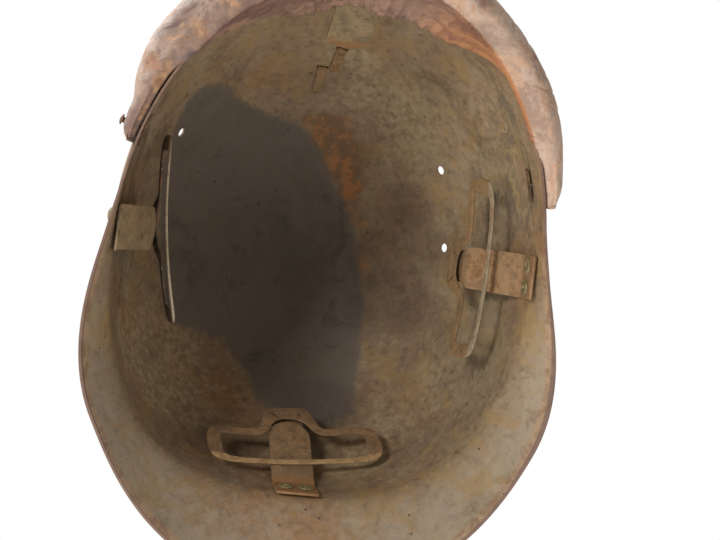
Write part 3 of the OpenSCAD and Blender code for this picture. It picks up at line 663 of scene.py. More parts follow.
def make_tongue(form, f, side):
    """A leaf of spring steel: flat root plate, a bend of radius 5 mm, then a straight blade whose tip is half a circle
    at the rear and a flatter arc, between two corners, elsewhere. rust_end is how rusty its tip and its root are."""
    a, y = slope(f, side), plate_gap(form, f, side) + f.tongue_t / 2
    low = rivet_z(f, side) - f.root_h / 2 - ROOT_DROP
    bend = low + f.root_h
    root = np.stack([np.full(9, y), np.linspace(low, bend, 10)[:-1]], -1)
    t = np.linspace(0, a, 9)
    arc = np.stack([y + BEND_R * (1 - np.cos(t)), bend + BEND_R * np.sin(t)], -1)
    r = f.tongue_w / 2
    tip = r if side == "rear" else f.blunt_r
    start = math.acos(r / tip)
    run = np.concatenate([np.linspace(0.001, f.blade - tip * (1 - math.sin(start)), 12),
                          f.blade - tip * (1 - np.sin(np.linspace(start + 0.04, 1.56, 22)))])
    blade = arc[-1] + run[:, None] * np.array([math.sin(a), math.cos(a)])
    over, plain = np.maximum(run - (f.blade - tip), 0), len(root) + len(arc)
    half = np.concatenate([np.full(plain, r), np.minimum(r, np.sqrt(np.maximum(tip * tip - over * over, 1e-9)))])
    half[0] -= 0.0004
    pts, faces = strip(np.concatenate([root, arc, blade]), half, f.tongue_t, 0.0003)
    pts[:, 1] += 0.00012 * waves(pts, 20 + SIDES.index(side), 0.02)
    at_tip, at_root = {"front": (1.0, 0.2), "rear": (0.1, 0.9), "left": (0.35, 0.5), "right": (0.0, 0.2)}[side]
    on_run = at_tip * smooth(run, f.blade - 0.009, f.blade - 0.003) + at_root * smooth(run, 0.009, 0)
    rust = np.concatenate([np.full(plain, at_root), on_run])
    values = {"rust_end": np.concatenate([np.repeat(rust, (len(pts) - 2) // len(rust)), rust[[0, -1]]])}
    return joined(side + "_tongue_leaf", [placed((pts, faces), on_wall(form, f, side))], values)


def make_rivets(form, f, side):
    """Two tubular rivets: a domed head outside, and inside a shank rolled over into a ring round a dark bore."""
    out, inside, r = form.s.sheet + ROOM, plate_gap(form, f, side) + f.tongue_t + 0.0001, f.rivet_d / 2
    profile = (domed(r, -RIVET_HEAD, -out) + [(0.002, -out), (0.002, inside)]
               + [(r - 0.001 * u, inside + 0.001 * h) for u, h in RIVET_ROLL] + [(0, inside - 0.0014)])
    parts, place = [], on_wall(form, f, side) @ shift(0, 0, rivet_z(f, side))
    for k, x in enumerate((-f.rivet_gap / 2, f.rivet_gap / 2)):
        pts, faces = turned(profile, 40)
        uneven = np.stack([waves(pts, 31 + k, 0.004), waves(pts, 41 + k, 0.004)], -1)
        pts[:, :2] += (pts[:, 2] > inside)[:, None] * 0.0001 * uneven
        parts.append(placed((pts, faces), place @ shift(x, 0, 0) @ spin(math.radians(-90), "X")))
    return joined(side + "_rivet_pair", parts)


def frame_place(form, f, side, lift, tilt, yaw, roll):
    """Matrix of a frame that hangs on its tongue, turned about the fold behind the tongue's tip."""
    back = -(f.tongue_t / 2 + ROOM) - f.frame_t
    pivot = f.blade + lift - 0.003
    return (on_blade(form, f, side) @ shift(0, back / 2, pivot) @ spin(tilt, "X") @ spin(yaw, "Z") @ spin(roll, "Y")
            @ shift(0, -back / 2, lift - pivot))


def make_liner_frame(form, f, side, place, seed):
    """A curved sheet ring: a rounded flat section carried round a closed line of two bars and an arch over the tongue
    tip, and a hook rolled from the top of the arch back over the tip. low_bar is 1 on the lower bar, whose paler colour
    is painted light."""
    front, mid_r = f.tongue_t / 2 + ROOM, f.frame_r - f.frame_t / 2
    half = np.array(FRAME_LINE) * 0.001
    half[UPPER_BAR, 1] += LOW_BAR + f.bar_gap - HIGH_BAR
    line = smooth_path(np.concatenate([half, half[-2:0:-1] * [-1, 1, 1]]), 220, closed=True)
    x, z, w = line.T
    tang = unit(np.stack([np.roll(x, -1) - np.roll(x, 1), np.roll(z, -1) - np.roll(z, 1)], -1))
    x = x + 0.00025 * waves(line, seed, 0.03)
    z = z + 0.0003 * waves(line, seed + 1, 0.035)
    across, through = rounded_section(w, f.frame_t / 2, 0.0004)
    px, pz = x[:, None] - tang[:, 1:] * across, z[:, None] + tang[:, :1] * across
    th = np.arcsin(np.clip(px / mid_r, -1, 1))
    r = mid_r - through
    ring = tube_solid(np.stack([r * np.sin(th), front + f.frame_r - r * np.cos(th), pz], -1), loops_closed=True)
    low_bar = smooth(pz, 0.0185, 0.0155).ravel()
    y0, top = front + f.frame_t / 2, f.blade + 0.0078
    t = np.linspace(0, math.pi, 13)
    hook = np.concatenate([np.stack([np.full(4, y0), np.linspace(0.0492, top, 5)[:-1]], -1),
                           np.stack([y0 * np.cos(t), top + y0 * np.sin(t)], -1),
                           np.stack([np.full(7, -y0), np.linspace(top, f.blade - 0.003, 8)[1:]], -1)])
    pts, faces = strip(hook, np.linspace(0.0100, 0.0080, len(hook)), f.frame_t * 0.92, 0.0004)
    station = np.repeat(np.arange(len(hook)), (len(pts) - 2) // len(hook))
    fade = np.concatenate([1 - smooth(station, 4, 16), [1.0, 0.0]])
    pts[:, 1] += fade * (f.frame_r - np.sqrt(f.frame_r ** 2 - pts[:, 0] ** 2))
    values = {"low_bar": np.concatenate([low_bar, np.zeros(len(pts))])}
    move = frame_place(form, f, side, *place)
    return joined(side + "_liner_frame", [placed(ring, move), placed((pts, faces), move)], values)


def make_badge_disc(form, f):
    """A dished disc with a raised rim and one plain ring, turned about its middle."""
    r, t, dish = f.badge_d / 2, 0.0009, lambda x: DISH_R - math.sqrt(DISH_R ** 2 - x * x)
    field, edge = r - 0.003, r - 0.0024
    profile = [(x, -dish(x)) for x in np.linspace(0, r, 11)]
    border = (0, 0.0006), (0.0004, 0.001), (0.001, 0.0011), (0.0017, 0.0008)
    profile += [(r - u, -dish(r) + t + h) for u, h in border]
    profile.append((edge, -dish(edge) + t))
    for x in field * np.linspace(0.97, 0, 36):
        profile.append((x, -dish(x) + t + 0.0005 * math.exp(-((x - field * 4 / 7) / 0.0011) ** 2)))
    pts, faces = turned(profile, 96)
    pts[:, 2] += 0.00012 * waves(pts, 51, 0.02)
    move = on_brow(form, BADGE_X, form.s.crown_h - BADGE_DROP) @ spin(math.radians(90), "X") @ shift(0, 0, ROOM)
    return joined("brow_badge_disc", [placed((pts, faces), move)])


def make_badge_tabs(form, f):
    """Two bent tabs that come through slots in the brow and lie up along the inner wall."""
    parts, bend = [], TAB_T
    reach, lean = form.s.sheet + 0.00085 - bend, math.radians(5)
    t = np.linspace(0, math.pi / 2 - lean, 8)
    flat = np.stack([np.linspace(-0.0001, reach, 6), np.zeros(6)], -1)[:-1]
    arc = np.stack([reach + bend * np.sin(t), bend * (1 - np.cos(t))], -1)
    run = np.linspace(0.0012, f.badge_tab_l - 0.001, 12)[:, None]
    path = np.concatenate([flat, arc, arc[-1] + run * np.array([math.sin(lean), math.cos(lean)])])
    half = np.full(len(path), f.badge_tab_w / 2)
    half[-1] -= 0.0006
    for k, (x, z) in enumerate(badge_slots(form, f)):
        pts, faces = strip(path, half, TAB_T, 0.0003)
        pts[:, 1] += 0.0001 * waves(pts, 61 + k, 0.008)
        parts.append(placed((pts, faces), on_brow(form, x, z)))
    return joined("brow_badge_tabs", parts)


# The brow bumper

class BumperForm:
    """Section of the bumper at angle a: u is the distance out from the wall, z the height."""

    def __init__(self, shell, b):
        self.shell, self.b = shell, b

    def end(self, a):
        """Angle of the bumper's end on the side where a is."""
        return np.where(np.asarray(a) < 0, self.b.right_end, self.b.left_end)

    def end_round(self, a):
        """A quarter of an ellipse over the last tenth of each half."""
        e = np.maximum(0, (np.abs(a) / self.end(a) - 0.9) / 0.1)
        return np.sqrt(np.maximum(0, 1 - e * e))

    def thick(self, a):
        """Thins by 0.58 on the right and 0.45 on the left from 42 degrees to the end; the right half has a notch at
        60.5 degrees, before the end swells again."""
        d, right = fold(a), np.asarray(a) < 0
        taper = np.where(right, 0.58, 0.45) * smooth(d, 42, np.degrees(self.end(a)))
        notch = np.where(right, 0.10 * np.exp(-((d - 60.5) / 3.2) ** 2) - 0.06 * np.exp(-((d - 67.5) / 2.5) ** 2), 0.0)
        return self.b.thick * (1 - taper - notch)

    def top(self, a):
        """Upper edge: it sinks from 25 degrees on to the height of the end, whose corner is rounded."""
        b = self.b
        full = b.high - (b.high - b.end_h) * smooth(fold(a), 25, np.degrees(self.end(a)))
        mid = (full + self.shell.rim(a)) / 2
        return mid + (full - mid) * (0.6 + 0.4 * self.end_round(a))

    def low(self, a):
        """Lower edge: it follows the rim of the shell, a leather's thickness and 2.2 mm under it."""
        return self.shell.rim(a) - self.b.leather - 0.0022 + 0.0014 * (1 - self.end_round(a))

    def bulge(self, a, psi):
        """Half round swelling: psi runs from -90 at the lower edge to 90 at the upper edge."""
        skin = 0.0005 + self.b.leather
        u = skin + (self.thick(a) - skin) * self.end_round(a) * np.maximum(0, np.cos(np.radians(psi))) ** 0.75
        top, low = self.top(a), self.low(a)
        z = (top + low) / 2 + (top - low) / 2 * np.sin(np.radians(psi))
        return np.stack([u + 0 * z, np.maximum(0, z)], -1)

    def fold_up(self, a):
        """Height of the fold inside the rim: whole to 22 degrees, worn away to the rim at 48 degrees on the right side
        and 38 on the left, with a ragged edge."""
        d = np.degrees(a)
        ragged = 0.05 * np.sin(d * 0.9 + 1.0) + 0.05 * np.sin(d * 2.3) + 0.035 * np.sin(d * 5.1 + 2.0)
        whole = 1 - smooth(np.abs(d), 22, np.where(d < 0, 48, 38))
        return 0.0016 + self.b.fold_h * whole * (1 + ragged - 0.04)

    def fold_in(self, a):
        """How far the free edge of the fold stands off the wall: whole to 11 degrees, gone at 45 or 37, and ragged."""
        d = np.degrees(a)
        ragged = 0.10 * np.sin(d * 0.33 + 0.4) + 0.05 * np.sin(d * 1.7 + 1.0) + 0.03 * np.sin(d * 4.3)
        return self.b.fold_reach * (1 - smooth(np.abs(d), 11, np.where(d < 0, 45, 37))) * (1 + ragged - 0.04)

    def section(self, a, count=104):
        """Path of the outer skin: down inside the rim, round under it, then up over the swelling. From 43 degrees on
        the right and 53 on the left the skin leaves the rim and tucks back between the stuffing and the wall; the
        tables give its points from there as (u, height over the rim) in mm."""
        b, rim, d = self.b, self.shell.rim(a), np.degrees(a)
        r = self.shell.s.sheet / 2 + 0.0005 + b.leather
        c0, c1 = -self.shell.s.sheet / 2, rim + 0.0005
        up, far = self.fold_up(a), self.fold_in(a)
        at = lambda u, z: np.stack([u + 0 * a, z + 0 * a], -1)
        turn_at = lambda t: at(c0 + r * math.cos(math.radians(t)), c1 + r * math.sin(math.radians(t)))
        wrapped = [at(c0 - r - far, c1 + up), at(c0 - r - 0.45 * far, c1 + 0.5 * up)]
        wrapped += [turn_at(t) for t in (180, 225, 270)]
        tucked = [(-1.4, -1.9), (-0.8, -2.0), (-0.2, -2.1), (0.5, -2.2), (1.2, -2.3)]
        away = [(0.5, 4.5), (0.5, 2.8), (0.7, 1.2), (1.3, -0.2), (2.4, -1.0)]
        side = np.where(d < 0, 43.0, 53.0)
        p1, p2 = smooth(np.abs(d), side, side + 4)[:, None], smooth(np.abs(d), side + 3, side + 9)[:, None]
        mm = lambda point: at(0.001 * point[0], rim + 0.001 * point[1])
        ends = [(w * (1 - p1) + mm(t) * p1) * (1 - p2) + mm(o) * p2 for w, t, o in zip(wrapped, tucked, away)]
        swell = [self.bulge(a, psi) for psi in (-80, -62, -42, -20, 2, 24, 46, 66, 82, 90)]
        control = np.stack(ends + swell)
        path = smooth_path(control.reshape(len(control), -1), count).reshape(count, len(a), 2)
        return np.moveaxis(path, 0, 1)

    def to_wall(self, a, path):
        """Points in space of the (u, height) pairs of one path for each angle."""
        return self.shell.wall(a[:, None] + 0 * path[..., 0], path[..., 1], path[..., 0])


def creased(p, along, across, pins):
    """Depth of the creases at each point: soft lumps, short folds 11.5 mm apart across the bumper, and dimples at
    the pins."""
    lumps = 0.8 * waves(p, 71, 0.045) + 0.45 * waves(p, 72, 0.018) + 0.2 * waves(p, 73, 0.007)
    bend = along + 0.004 * np.sin(across * 95 + 1.2) + 0.003 * np.sin(across * 210)
    cells = bend / 0.0115 + 0.25 * np.sin(bend * 160)
    valley = -np.exp(-((cells - np.round(cells)) / 0.09) ** 2)
    here = smooth(0.35 + 1.4 * waves(np.stack([bend * 0.6, across * 0.7, 0 * bend], -1), 75, 0.03))
    depth = lumps + 0.9 * valley * here
    for q in pins:
        depth = depth - 2.2 * np.exp(-(np.linalg.norm(p - q, axis=-1) / 0.007) ** 2)
    return depth


def pin_reach(form, a):
    """Distance of the leather's face from the wall at the pin."""
    a = np.array([a])
    top, low = form.top(a), form.low(a)
    psi = np.degrees(np.arcsin(np.clip((form.b.pin_z - (top + low) / 2) / ((top - low) / 2), -1, 1)))
    return float(form.bulge(a, psi)[0, 0])


def make_bumper(form):
    """Leather skin of the bumper: the section carried round the brow, swollen, creased and given its thickness inwards.
    It keeps its own flat coordinates and where it is creased, sunned, tucked in and tanned, and where shade is painted
    near the wall and in the hollow by the rim."""
    b = form.b
    a = np.linspace(-b.right_end, b.left_end, 261)
    path = form.section(a)
    u, left = path[..., 0], left_of(path, 1)
    outer = form.to_wall(a, path)
    along = np.cumsum(np.concatenate([[0], np.linalg.norm(np.diff(outer[:, 60], axis=0), axis=-1)]))[:, None] + 0 * u
    steps = np.linalg.norm(np.diff(path, axis=1), axis=-1)
    across = np.concatenate([np.zeros((len(a), 1)), np.cumsum(steps, 1)], 1)
    face_at = lambda t: np.array(form.shell.stand(t, b.pin_z) @ shift(0, -pin_reach(form, t), 0))[:3, 3]
    pins = [face_at(b.pin_a), face_at(-b.pin_a)]
    crease = creased(outer, along, across, pins)
    count = path.shape[1]
    free = smooth(np.minimum(np.linspace(0, 9, count), np.linspace(27, 0, count)), 0, 2)
    tight = 0.35 + 0.65 * smooth(u, 0.001, 0.007)
    skin, back = path - left * (crease * b.crease * free * tight)[..., None], path + left * b.leather
    for face, floor in ((skin, 0.0), (back, 0.0004)):
        face[..., 1] = np.maximum(face[..., 1], floor)
    front = form.to_wall(a, skin)
    values = {"flow": np.stack([along, across, 0 * along], -1), "crease": crease,
              # Painted shade near the wall, most on the right half
              "wall_shade": smooth(u, 0.012, 0.004) * (0.2 + 0.8 * smooth(0.5 - 3.0 * a))[:, None],
              "sunned": smooth(1.2 * a)[:, None] + 0 * u, "tucked": smooth(u, -0.0008, -0.0032),
              # The last value is painted shade in the hollow by the rim
              "tanned": patches(front, TANNED), "hollow_shade": patches(front, HOLLOW_SHADE)}
    return sheet_solid("bumper_leather", front, form.to_wall(a, back), values)


def make_filling(form):
    """Stuffing: a closed loft inside the leather, lumpy on its surface."""
    a = np.linspace(-form.b.right_end * 0.86, form.b.left_end * 0.86, 121)
    path = np.stack([form.bulge(a, psi) for psi in np.linspace(-60, 66, 26)], 1)
    path = path + left_of(path, 1) * (form.b.leather + 0.0009)
    low, high = path[:, 0, 1], path[:, -1, 1]
    up = np.stack([high - 0.001, (high + low) / 2, low + 0.0015], 1)
    pts = form.to_wall(a, np.concatenate([path, np.stack([0 * up + 0.0007, up], -1)], 1))
    return joined("bumper_stuffing", [tube_solid(pts + 0.00015 * waves(pts, 81, 0.008)[..., None])])


def make_pin(form, a, name):
    """Split pin: a domed head on the leather, a shank through the wall, two legs bent apart and curled at the ends."""
    reach, s, leg = pin_reach(form, a) + 0.0009, form.shell.s, 0.008
    leg_y = s.sheet + ROOM + leg ** 2 / 2 / (s.half_w + s.right_spread * (a < 0))
    r, end = 0.0013, -reach - leg_y - 0.0008
    profile = domed(PIN_R, PIN_HEAD) + [(PIN_R - 0.0002, -0.0002), (r, -0.0002), (r, end), (0, end - 0.0001)]
    m = form.shell.stand(a, form.b.pin_z)
    parts = [placed(turned(profile, 36), m @ shift(0, -reach, 0) @ spin(math.radians(90), "X"))]
    x = np.linspace(0.0004, leg, 12)
    lift = 0.00035 * np.sin(x / leg * 3.1) + 0.0009 * (x / leg) ** 6
    pts, faces = strip(np.stack([x, leg_y + LEG_T / 2 + lift], -1), np.linspace(0.0015, 0.0011, 12), LEG_T, 0.0003)
    for side in (1, -1):
        parts.append(placed((np.stack([side * pts[:, 1], pts[:, 2], pts[:, 0]], -1), faces), m))
    return joined(name, parts)


# Materials: colours are given as seen on a screen, and noises run round 0.5

def linear(c):
    """A screen colour as the linear one that a shader takes, with its alpha."""
    c = np.array(c[:3])
    return tuple(np.where(c <= 0.04045, c / 12.92, ((c + 0.055) / 1.055) ** 2.4).tolist()) + (1.0,)


def shade(c, gain):
    """A screen colour made darker or lighter."""
    return np.array(c[:3]) * gain


class Nodes:
    """The node tree of a material or of the world. A value is a number, a colour or another node's socket."""

    def __init__(self, tree):
        self.tree = tree

    def link(self, value, socket):
        if isinstance(value, bpy.types.NodeSocket):
            self.tree.links.new(value, socket)
        elif value is not None:
            socket.default_value = value

    def node(self, kind, out, inputs, **settings):
        """A new node with its settings and inputs; gives one of its outputs, or the node itself if out is None."""
        n = self.tree.nodes.new("ShaderNode" + kind)
        for key, v in settings.items():
            setattr(n, key, v)
        for key, v in inputs.items():
            self.link(v, n.inputs[key])
        return n if out is None else n.outputs[out]

    def math(self, kind, a, b=0.0, clamp=False):
        return self.node("Math", 0, {0: a, 1: b}, operation=kind, use_clamp=clamp)

    def times(self, a, b, clamp=False):
        return self.math("MULTIPLY", a, b, clamp)

    def plus(self, a, b):
        return self.math("ADD", a, b)

    def minus(self, a, b, clamp=False):
        return self.math("SUBTRACT", a, b, clamp)

    def surface(self, kind, share, a, b):
        """The output of the tree: shader a going to shader b."""
        self.node("Output" + kind, None, {"Surface": self.node("MixShader", 0, {"Fac": share, 1: a, 2: b})})


class Finish(Nodes):
    """A material built node by node round one Principled shader."""

    def __init__(self, name):
        self.mat = bpy.data.materials.new(name)
        self.mat.use_nodes = True
        super().__init__(self.mat.node_tree)
        self.shader = self.tree.nodes["Principled BSDF"]
        self.object = self.tree.nodes.new("ShaderNodeTexCoord").outputs["Object"]

    def noise(self, scale, detail, rough, at=None, warp=0.0):
        return self.node("TexNoise", "Fac", {"Vector": at or self.object, "Scale": scale, "Detail": detail,
                                             "Roughness": rough, "Distortion": warp})

    def cells(self, scale, at=None):
        return self.node("TexVoronoi", "Distance", {"Vector": at or self.object, "Scale": scale})

    def stretched(self, scale, at=None, turn=(0, 0, 0)):
        return self.node("Mapping", "Vector", {"Vector": at or self.object, "Scale": scale, "Rotation": turn})

    def kept(self, key, out="Fac"):
        return self.node("Attribute", out, {}, attribute_name=key)

    def step(self, value, low, high, a=0.0, b=1.0):
        """Smooth step from a to b as the value goes from low to high."""
        ends = {"Value": value, "From Min": low, "From Max": high, "To Min": a, "To Max": b}
        return self.node("MapRange", "Result", ends, interpolation_type="SMOOTHSTEP")

    def both(self, a, b, step_a, step_b):
        """Where a has gone through its step and b through its own."""
        return self.times(self.step(a, *step_a), self.step(b, *step_b))

    def apart(self, noise, share):
        """A noise round 0: share * (noise - 0.5)."""
        return self.times(self.minus(noise, 0.5), share)

    def worn(self, key, noise, share, low, high):
        """A kept number made ragged by a noise, then a smooth step."""
        return self.step(self.plus(self.kept(key), self.apart(noise, share)), low, high)

    def mix(self, share, a, b):
        a, b = (v if isinstance(v, bpy.types.NodeSocket) else linear(v) for v in (a, b))
        return self.node("Mix", 2, {0: share, 6: a, 7: b}, data_type="RGBA")

    def two(self, value, low, high, a, b):
        """Colour a going to colour b as the value goes from low to high."""
        return self.mix(self.step(value, low, high), a, b)

    def over(self, base, mask, share, top):
        """A colour laid over the base where the mask is, at a share of its strength."""
        return self.mix(self.times(mask, share), base, top)

    def coat(self, base, *layers):
        """Colours laid over the base in turn; each layer is (value, low, high, share, colour)."""
        for value, low, high, share, colour in layers:
            base = self.mix(self.step(value, low, high, 0, share), base, colour)
        return base

    def relief(self, mid, fine, a=0.6, b=0.4):
        """Height of the surface: a share of the middle noise and a share of the fine one."""
        return self.plus(self.times(mid, a), self.times(fine, b))

    def bump(self, height, distance, strength, under=None):
        return self.node("Bump", "Normal", {"Strength": strength, "Distance": distance, "Height": height,
                                            "Normal": under})

    def done(self, colour, rough, normal, metallic=0.0, specular=0.5):
        for key, v in (("Base Color", colour), ("Roughness", rough), ("Metallic", metallic), ("Normal", normal),
                       ("Specular IOR Level", specular)):
            self.link(v, self.shader.inputs[key])
        return self.mat


def shell_finish(c):
    """Worn khaki paint in olive, brown and grey clouds: a dark ragged patch where it is gone, rust, flakes, pits,
    painted shade and painted light inside, a paler flare whose paint also paints the light on it, a tan rim with a dark
    lip."""
    f = Finish("shell_worn_paint")
    big, mid = f.noise(15, 7, 0.62, warp=0.5), f.noise(58, 9, 0.68, warp=0.5)
    fine, dust = f.noise(260, 8, 0.72), f.noise(1300, 4, 0.65)
    blot, smudge = f.noise(110, 8, 0.7, warp=0.8), f.noise(26, 9, 0.74, warp=0.6)
    ochre = f.noise(34, 9, 0.74, warp=0.8)
    # Paint, and the flare under the crease: a lighter tone from 9 mm above it, a darker one just under it, and the
    # paler flare paint, which also paints the light that falls on the flare
    skirt = f.plus(f.kept("skirt"), f.apart(smudge, 2.2))
    calm = f.step(skirt, 0.2, 1.8, 1.0, 0.4)
    base = f.coat(f.two(big, 0.38, 0.62, c.khaki, c.khaki_brown),
                  (skirt, -0.9, 0.1, 0.4, (0.56, 0.47, 0.37)), (skirt, -0.1, 0.3, 0.45, (0.40, 0.325, 0.235)),
                  (skirt, 0.2, 2.3, 0.8, c.flare), (mid, 0.48, 0.70, 0.5, (0.54, 0.485, 0.38)),
                  (mid, 0.50, 0.30, 0.5, (0.36, 0.29, 0.215)), (blot, 0.49, 0.68, 0.45, (0.40, 0.315, 0.225)),
                  (fine, 0.52, 0.66, 0.5, (0.59, 0.52, 0.40)))
    base = f.over(base, f.step(fine, 0.47, 0.36, 0, 0.5), calm, (0.28, 0.22, 0.165))
    base = f.coat(base, (ochre, 0.50, 0.59, 0.5, (0.54, 0.43, 0.26)))
    base = f.over(base, f.step(smudge, 0.51, 0.68, 0, 0.5), calm, (0.31, 0.255, 0.195))
    # Painted light, painted shade and rusted places
    # Painted light: paler paint where the walls catch the light; painted shade: darker paint high on the left wall and
    # behind the rear frame
    painted_light, painted_shade = f.worn("painted_light", mid, 1.3, 0.15, 0.85), f.worn("painted_shade", mid, 1.2, 0.1, 0.8)
    base = f.over(base, painted_light, 0.65, f.two(fine, 0.36, 0.64, (0.46, 0.39, 0.29), (0.63, 0.555, 0.43)))
    base = f.over(base, painted_shade, 0.7, f.two(blot, 0.4, 0.6, (0.26, 0.20, 0.155), (0.38, 0.30, 0.225)))
    old = f.coat(f.two(fine, 0.35, 0.65, c.brown, shade(c.brown, 1.45)), (blot, 0.50, 0.62, 0.8, (0.53, 0.40, 0.24)))
    base = f.over(base, f.worn("rusted", blot, 1.6, 0.25, 0.9), 0.7, old)
    spots = f.coat(f.two(f.noise(105, 9, 0.76), 0.47, 0.57, shade(c.brown, 1.05), c.rust),
                   (fine, 0.53, 0.66, 0.5, (0.33, 0.25, 0.19)))
    base = f.over(base, f.worn("orange", f.noise(48, 9, 0.76), 5.0, -0.3, 0.5), 0.8, spots)
    # Bare umber
    edge = f.plus(f.apart(f.noise(30, 9, 0.7, warp=0.6), 2.0), f.apart(blot, 0.9))
    bare = f.step(f.plus(f.kept("bare"), f.times(edge, 0.8)), -0.22, 0.26)
    umber = f.coat(f.two(smudge, 0.40, 0.60, c.umber, (0.385, 0.34, 0.305)),
                   (mid, 0.50, 0.66, 0.6, (0.355, 0.335, 0.285)), (mid, 0.47, 0.34, 0.7, (0.275, 0.245, 0.22)),
                   (blot, 0.54, 0.66, 0.5, (0.41, 0.35, 0.28)), (fine, 0.53, 0.68, 0.45, (0.42, 0.37, 0.31)))
    base = f.over(base, bare, 0.93, umber)
    # Painted shade over the bare patch as well
    base = f.over(base, f.times(painted_shade, bare), 0.45, (0.235, 0.20, 0.175))
    specks = f.both(f.noise(190, 6, 0.75), big, (0.62, 0.68), (0.42, 0.6))
    base = f.over(base, specks, 0.5, shade(c.rust, 0.85))
    # Flaking paint: rings of pale paint round places where it is gone
    patch = f.noise(48, 8, 0.7, at=f.stretched((1.3, 0.6, 1.3), turn=(0.25, 0, 0.55)), warp=0.9)
    flaking = f.kept("flaking")
    gone = f.times(flaking, f.step(patch, 0.49, 0.53), True)
    ring = f.minus(f.step(patch, 0.44, 0.47), f.step(patch, 0.485, 0.51), True)
    flakes = f.times(f.times(flaking, ring), f.step(f.noise(33, 5, 0.7), 0.42, 0.5), True)
    base = f.coat(base, (gone, 0.15, 0.6, 0.6, (0.37, 0.335, 0.285)),
                  (flakes, 0.15, 0.5, 0.7, f.two(fine, 0.4, 0.6, shade(c.flake, 0.8), c.flake)))
    # Rim, pits and scratches
    band = f.worn("from_rim", mid, 0.005, 0.0048, 0.0028)
    lip = f.step(f.plus(f.kept("from_rim"), f.times(fine, 0.0006)), 0.0010, 0.0006)
    base = f.over(base, band, 0.65, f.two(blot, 0.42, 0.6, c.rim_tan, (0.48, 0.365, 0.27)))
    base = f.over(base, lip, 0.7, (0.36, 0.28, 0.26))
    pits = f.both(f.cells(150), f.noise(38, 2, 0.5), (0.12, 0.07), (0.55, 0.62))
    base = f.over(base, pits, 0.7, (0.13, 0.10, 0.085))
    scratch = f.noise(9, 2, 0.5, at=f.stretched((2, 26, 2), turn=(0.5, 0.2, 0.6)))
    lines = f.both(f.math("ABSOLUTE", f.minus(scratch, 0.5)), f.noise(11, 3, 0.6), (0.0030, 0.0012), (0.58, 0.66))
    base = f.over(base, lines, 0.35, (0.66, 0.61, 0.53))
    height = f.minus(f.plus(f.relief(mid, fine), f.times(flakes, 0.4)), f.times(pits, 0.8))
    normal = f.bump(height, 0.0007, 0.6, under=f.bump(dust, 0.00015, 0.6))
    return f.done(base, f.step(fine, 0.3, 0.7, 0.6, 0.85), normal, specular=0.22)


def leather_finish(c):
    """Dry worn leather: purplish brown with dark blotches, rubbed tan on the raised places and orange where it is
    tucked in, with painted shade near the wall and in the hollow by the rim."""
    f = Finish("bumper_worn_leather")
    flow, sunned = f.kept("flow", "Vector"), f.kept("sunned")
    big, blot = f.noise(20, 7, 0.65, warp=0.8), f.noise(45, 8, 0.7, warp=1.2)
    mid, fine = f.noise(85, 9, 0.72, warp=0.6), f.noise(420, 8, 0.7)
    streak = f.noise(60, 7, 0.7, at=f.stretched((0.35, 1.0, 1.0), at=flow), warp=0.9)
    cloud = f.noise(28, 9, 0.72, at=f.stretched((0.7, 1.2, 1.2), at=flow), warp=0.5)
    base = f.coat(f.two(big, 0.42, 0.58, shade(c.leather, 0.88), (0.655, 0.565, 0.505)),
                  (streak, 0.50, 0.60, 0.85, c.leather_tan), (blot, 0.46, 0.38, 0.75, (0.60, 0.43, 0.31)),
                  (cloud, 0.52, 0.62, 0.75, (0.37, 0.28, 0.255)), (blot, 0.54, 0.63, 0.6, (0.38, 0.29, 0.27)),
                  (mid, 0.53, 0.66, 0.6, (0.37, 0.265, 0.235)), (mid, 0.45, 0.33, 0.55, (0.72, 0.60, 0.50)),
                  (fine, 0.54, 0.68, 0.4, (0.36, 0.26, 0.23)))
    base = f.over(base, f.worn("crease", fine, 0.9, -0.35, -1.05), 0.5, c.leather_dark)
    base = f.over(base, sunned, 0.25, (0.76, 0.64, 0.54))
    # Painted shade near the wall, tanned places and painted shade in the hollow by the rim, then the part tucked in
    # behind the rim
    wall_shade, hollow_shade = f.worn("wall_shade", blot, 1.8, 0.35, 0.95), f.worn("hollow_shade", mid, 1.6, 0.25, 0.85)
    tanned = f.worn("tanned", f.noise(130, 8, 0.75, warp=0.5), 3.2, 0.35, 0.85)
    # Painted shade: darker purplish brown near the wall
    base = f.over(base, wall_shade, 0.7, f.two(fine, 0.4, 0.6, (0.31, 0.235, 0.215), (0.45, 0.34, 0.27)))
    base = f.over(base, tanned, 0.7, f.two(mid, 0.42, 0.6, (0.57, 0.40, 0.275), (0.72, 0.57, 0.42)))
    # Painted shade: dark purplish patches in the hollow by the rim
    base = f.over(base, hollow_shade, 0.75, f.two(blot, 0.45, 0.58, (0.30, 0.245, 0.255), (0.40, 0.295, 0.255)))
    grey = f.two(streak, 0.42, 0.6, (0.37, 0.295, 0.26), (0.48, 0.40, 0.35))
    inner = f.coat(f.two(streak, 0.42, 0.6, (0.43, 0.275, 0.19), (0.62, 0.415, 0.26)), (sunned, 0.55, 0.1, 0.7, grey),
                   (blot, 0.52, 0.62, 0.7, (0.30, 0.215, 0.18)), (fine, 0.52, 0.68, 0.6, (0.34, 0.235, 0.19)))
    base = f.over(base, f.worn("tucked", mid, 0.7, 0.2, 0.75), 0.9, inner)
    base = f.over(base, f.step(f.noise(150, 5, 0.65), 0.64, 0.70), 0.6, (0.24, 0.16, 0.14))
    grain = f.bump(f.cells(1500, at=flow), 0.00015, 0.45)
    normal = f.bump(f.relief(mid, fine, 0.55, 0.35), 0.0009, 0.65, under=grain)
    return f.done(base, f.step(fine, 0.3, 0.7, 0.55, 0.8), normal, specular=0.3)


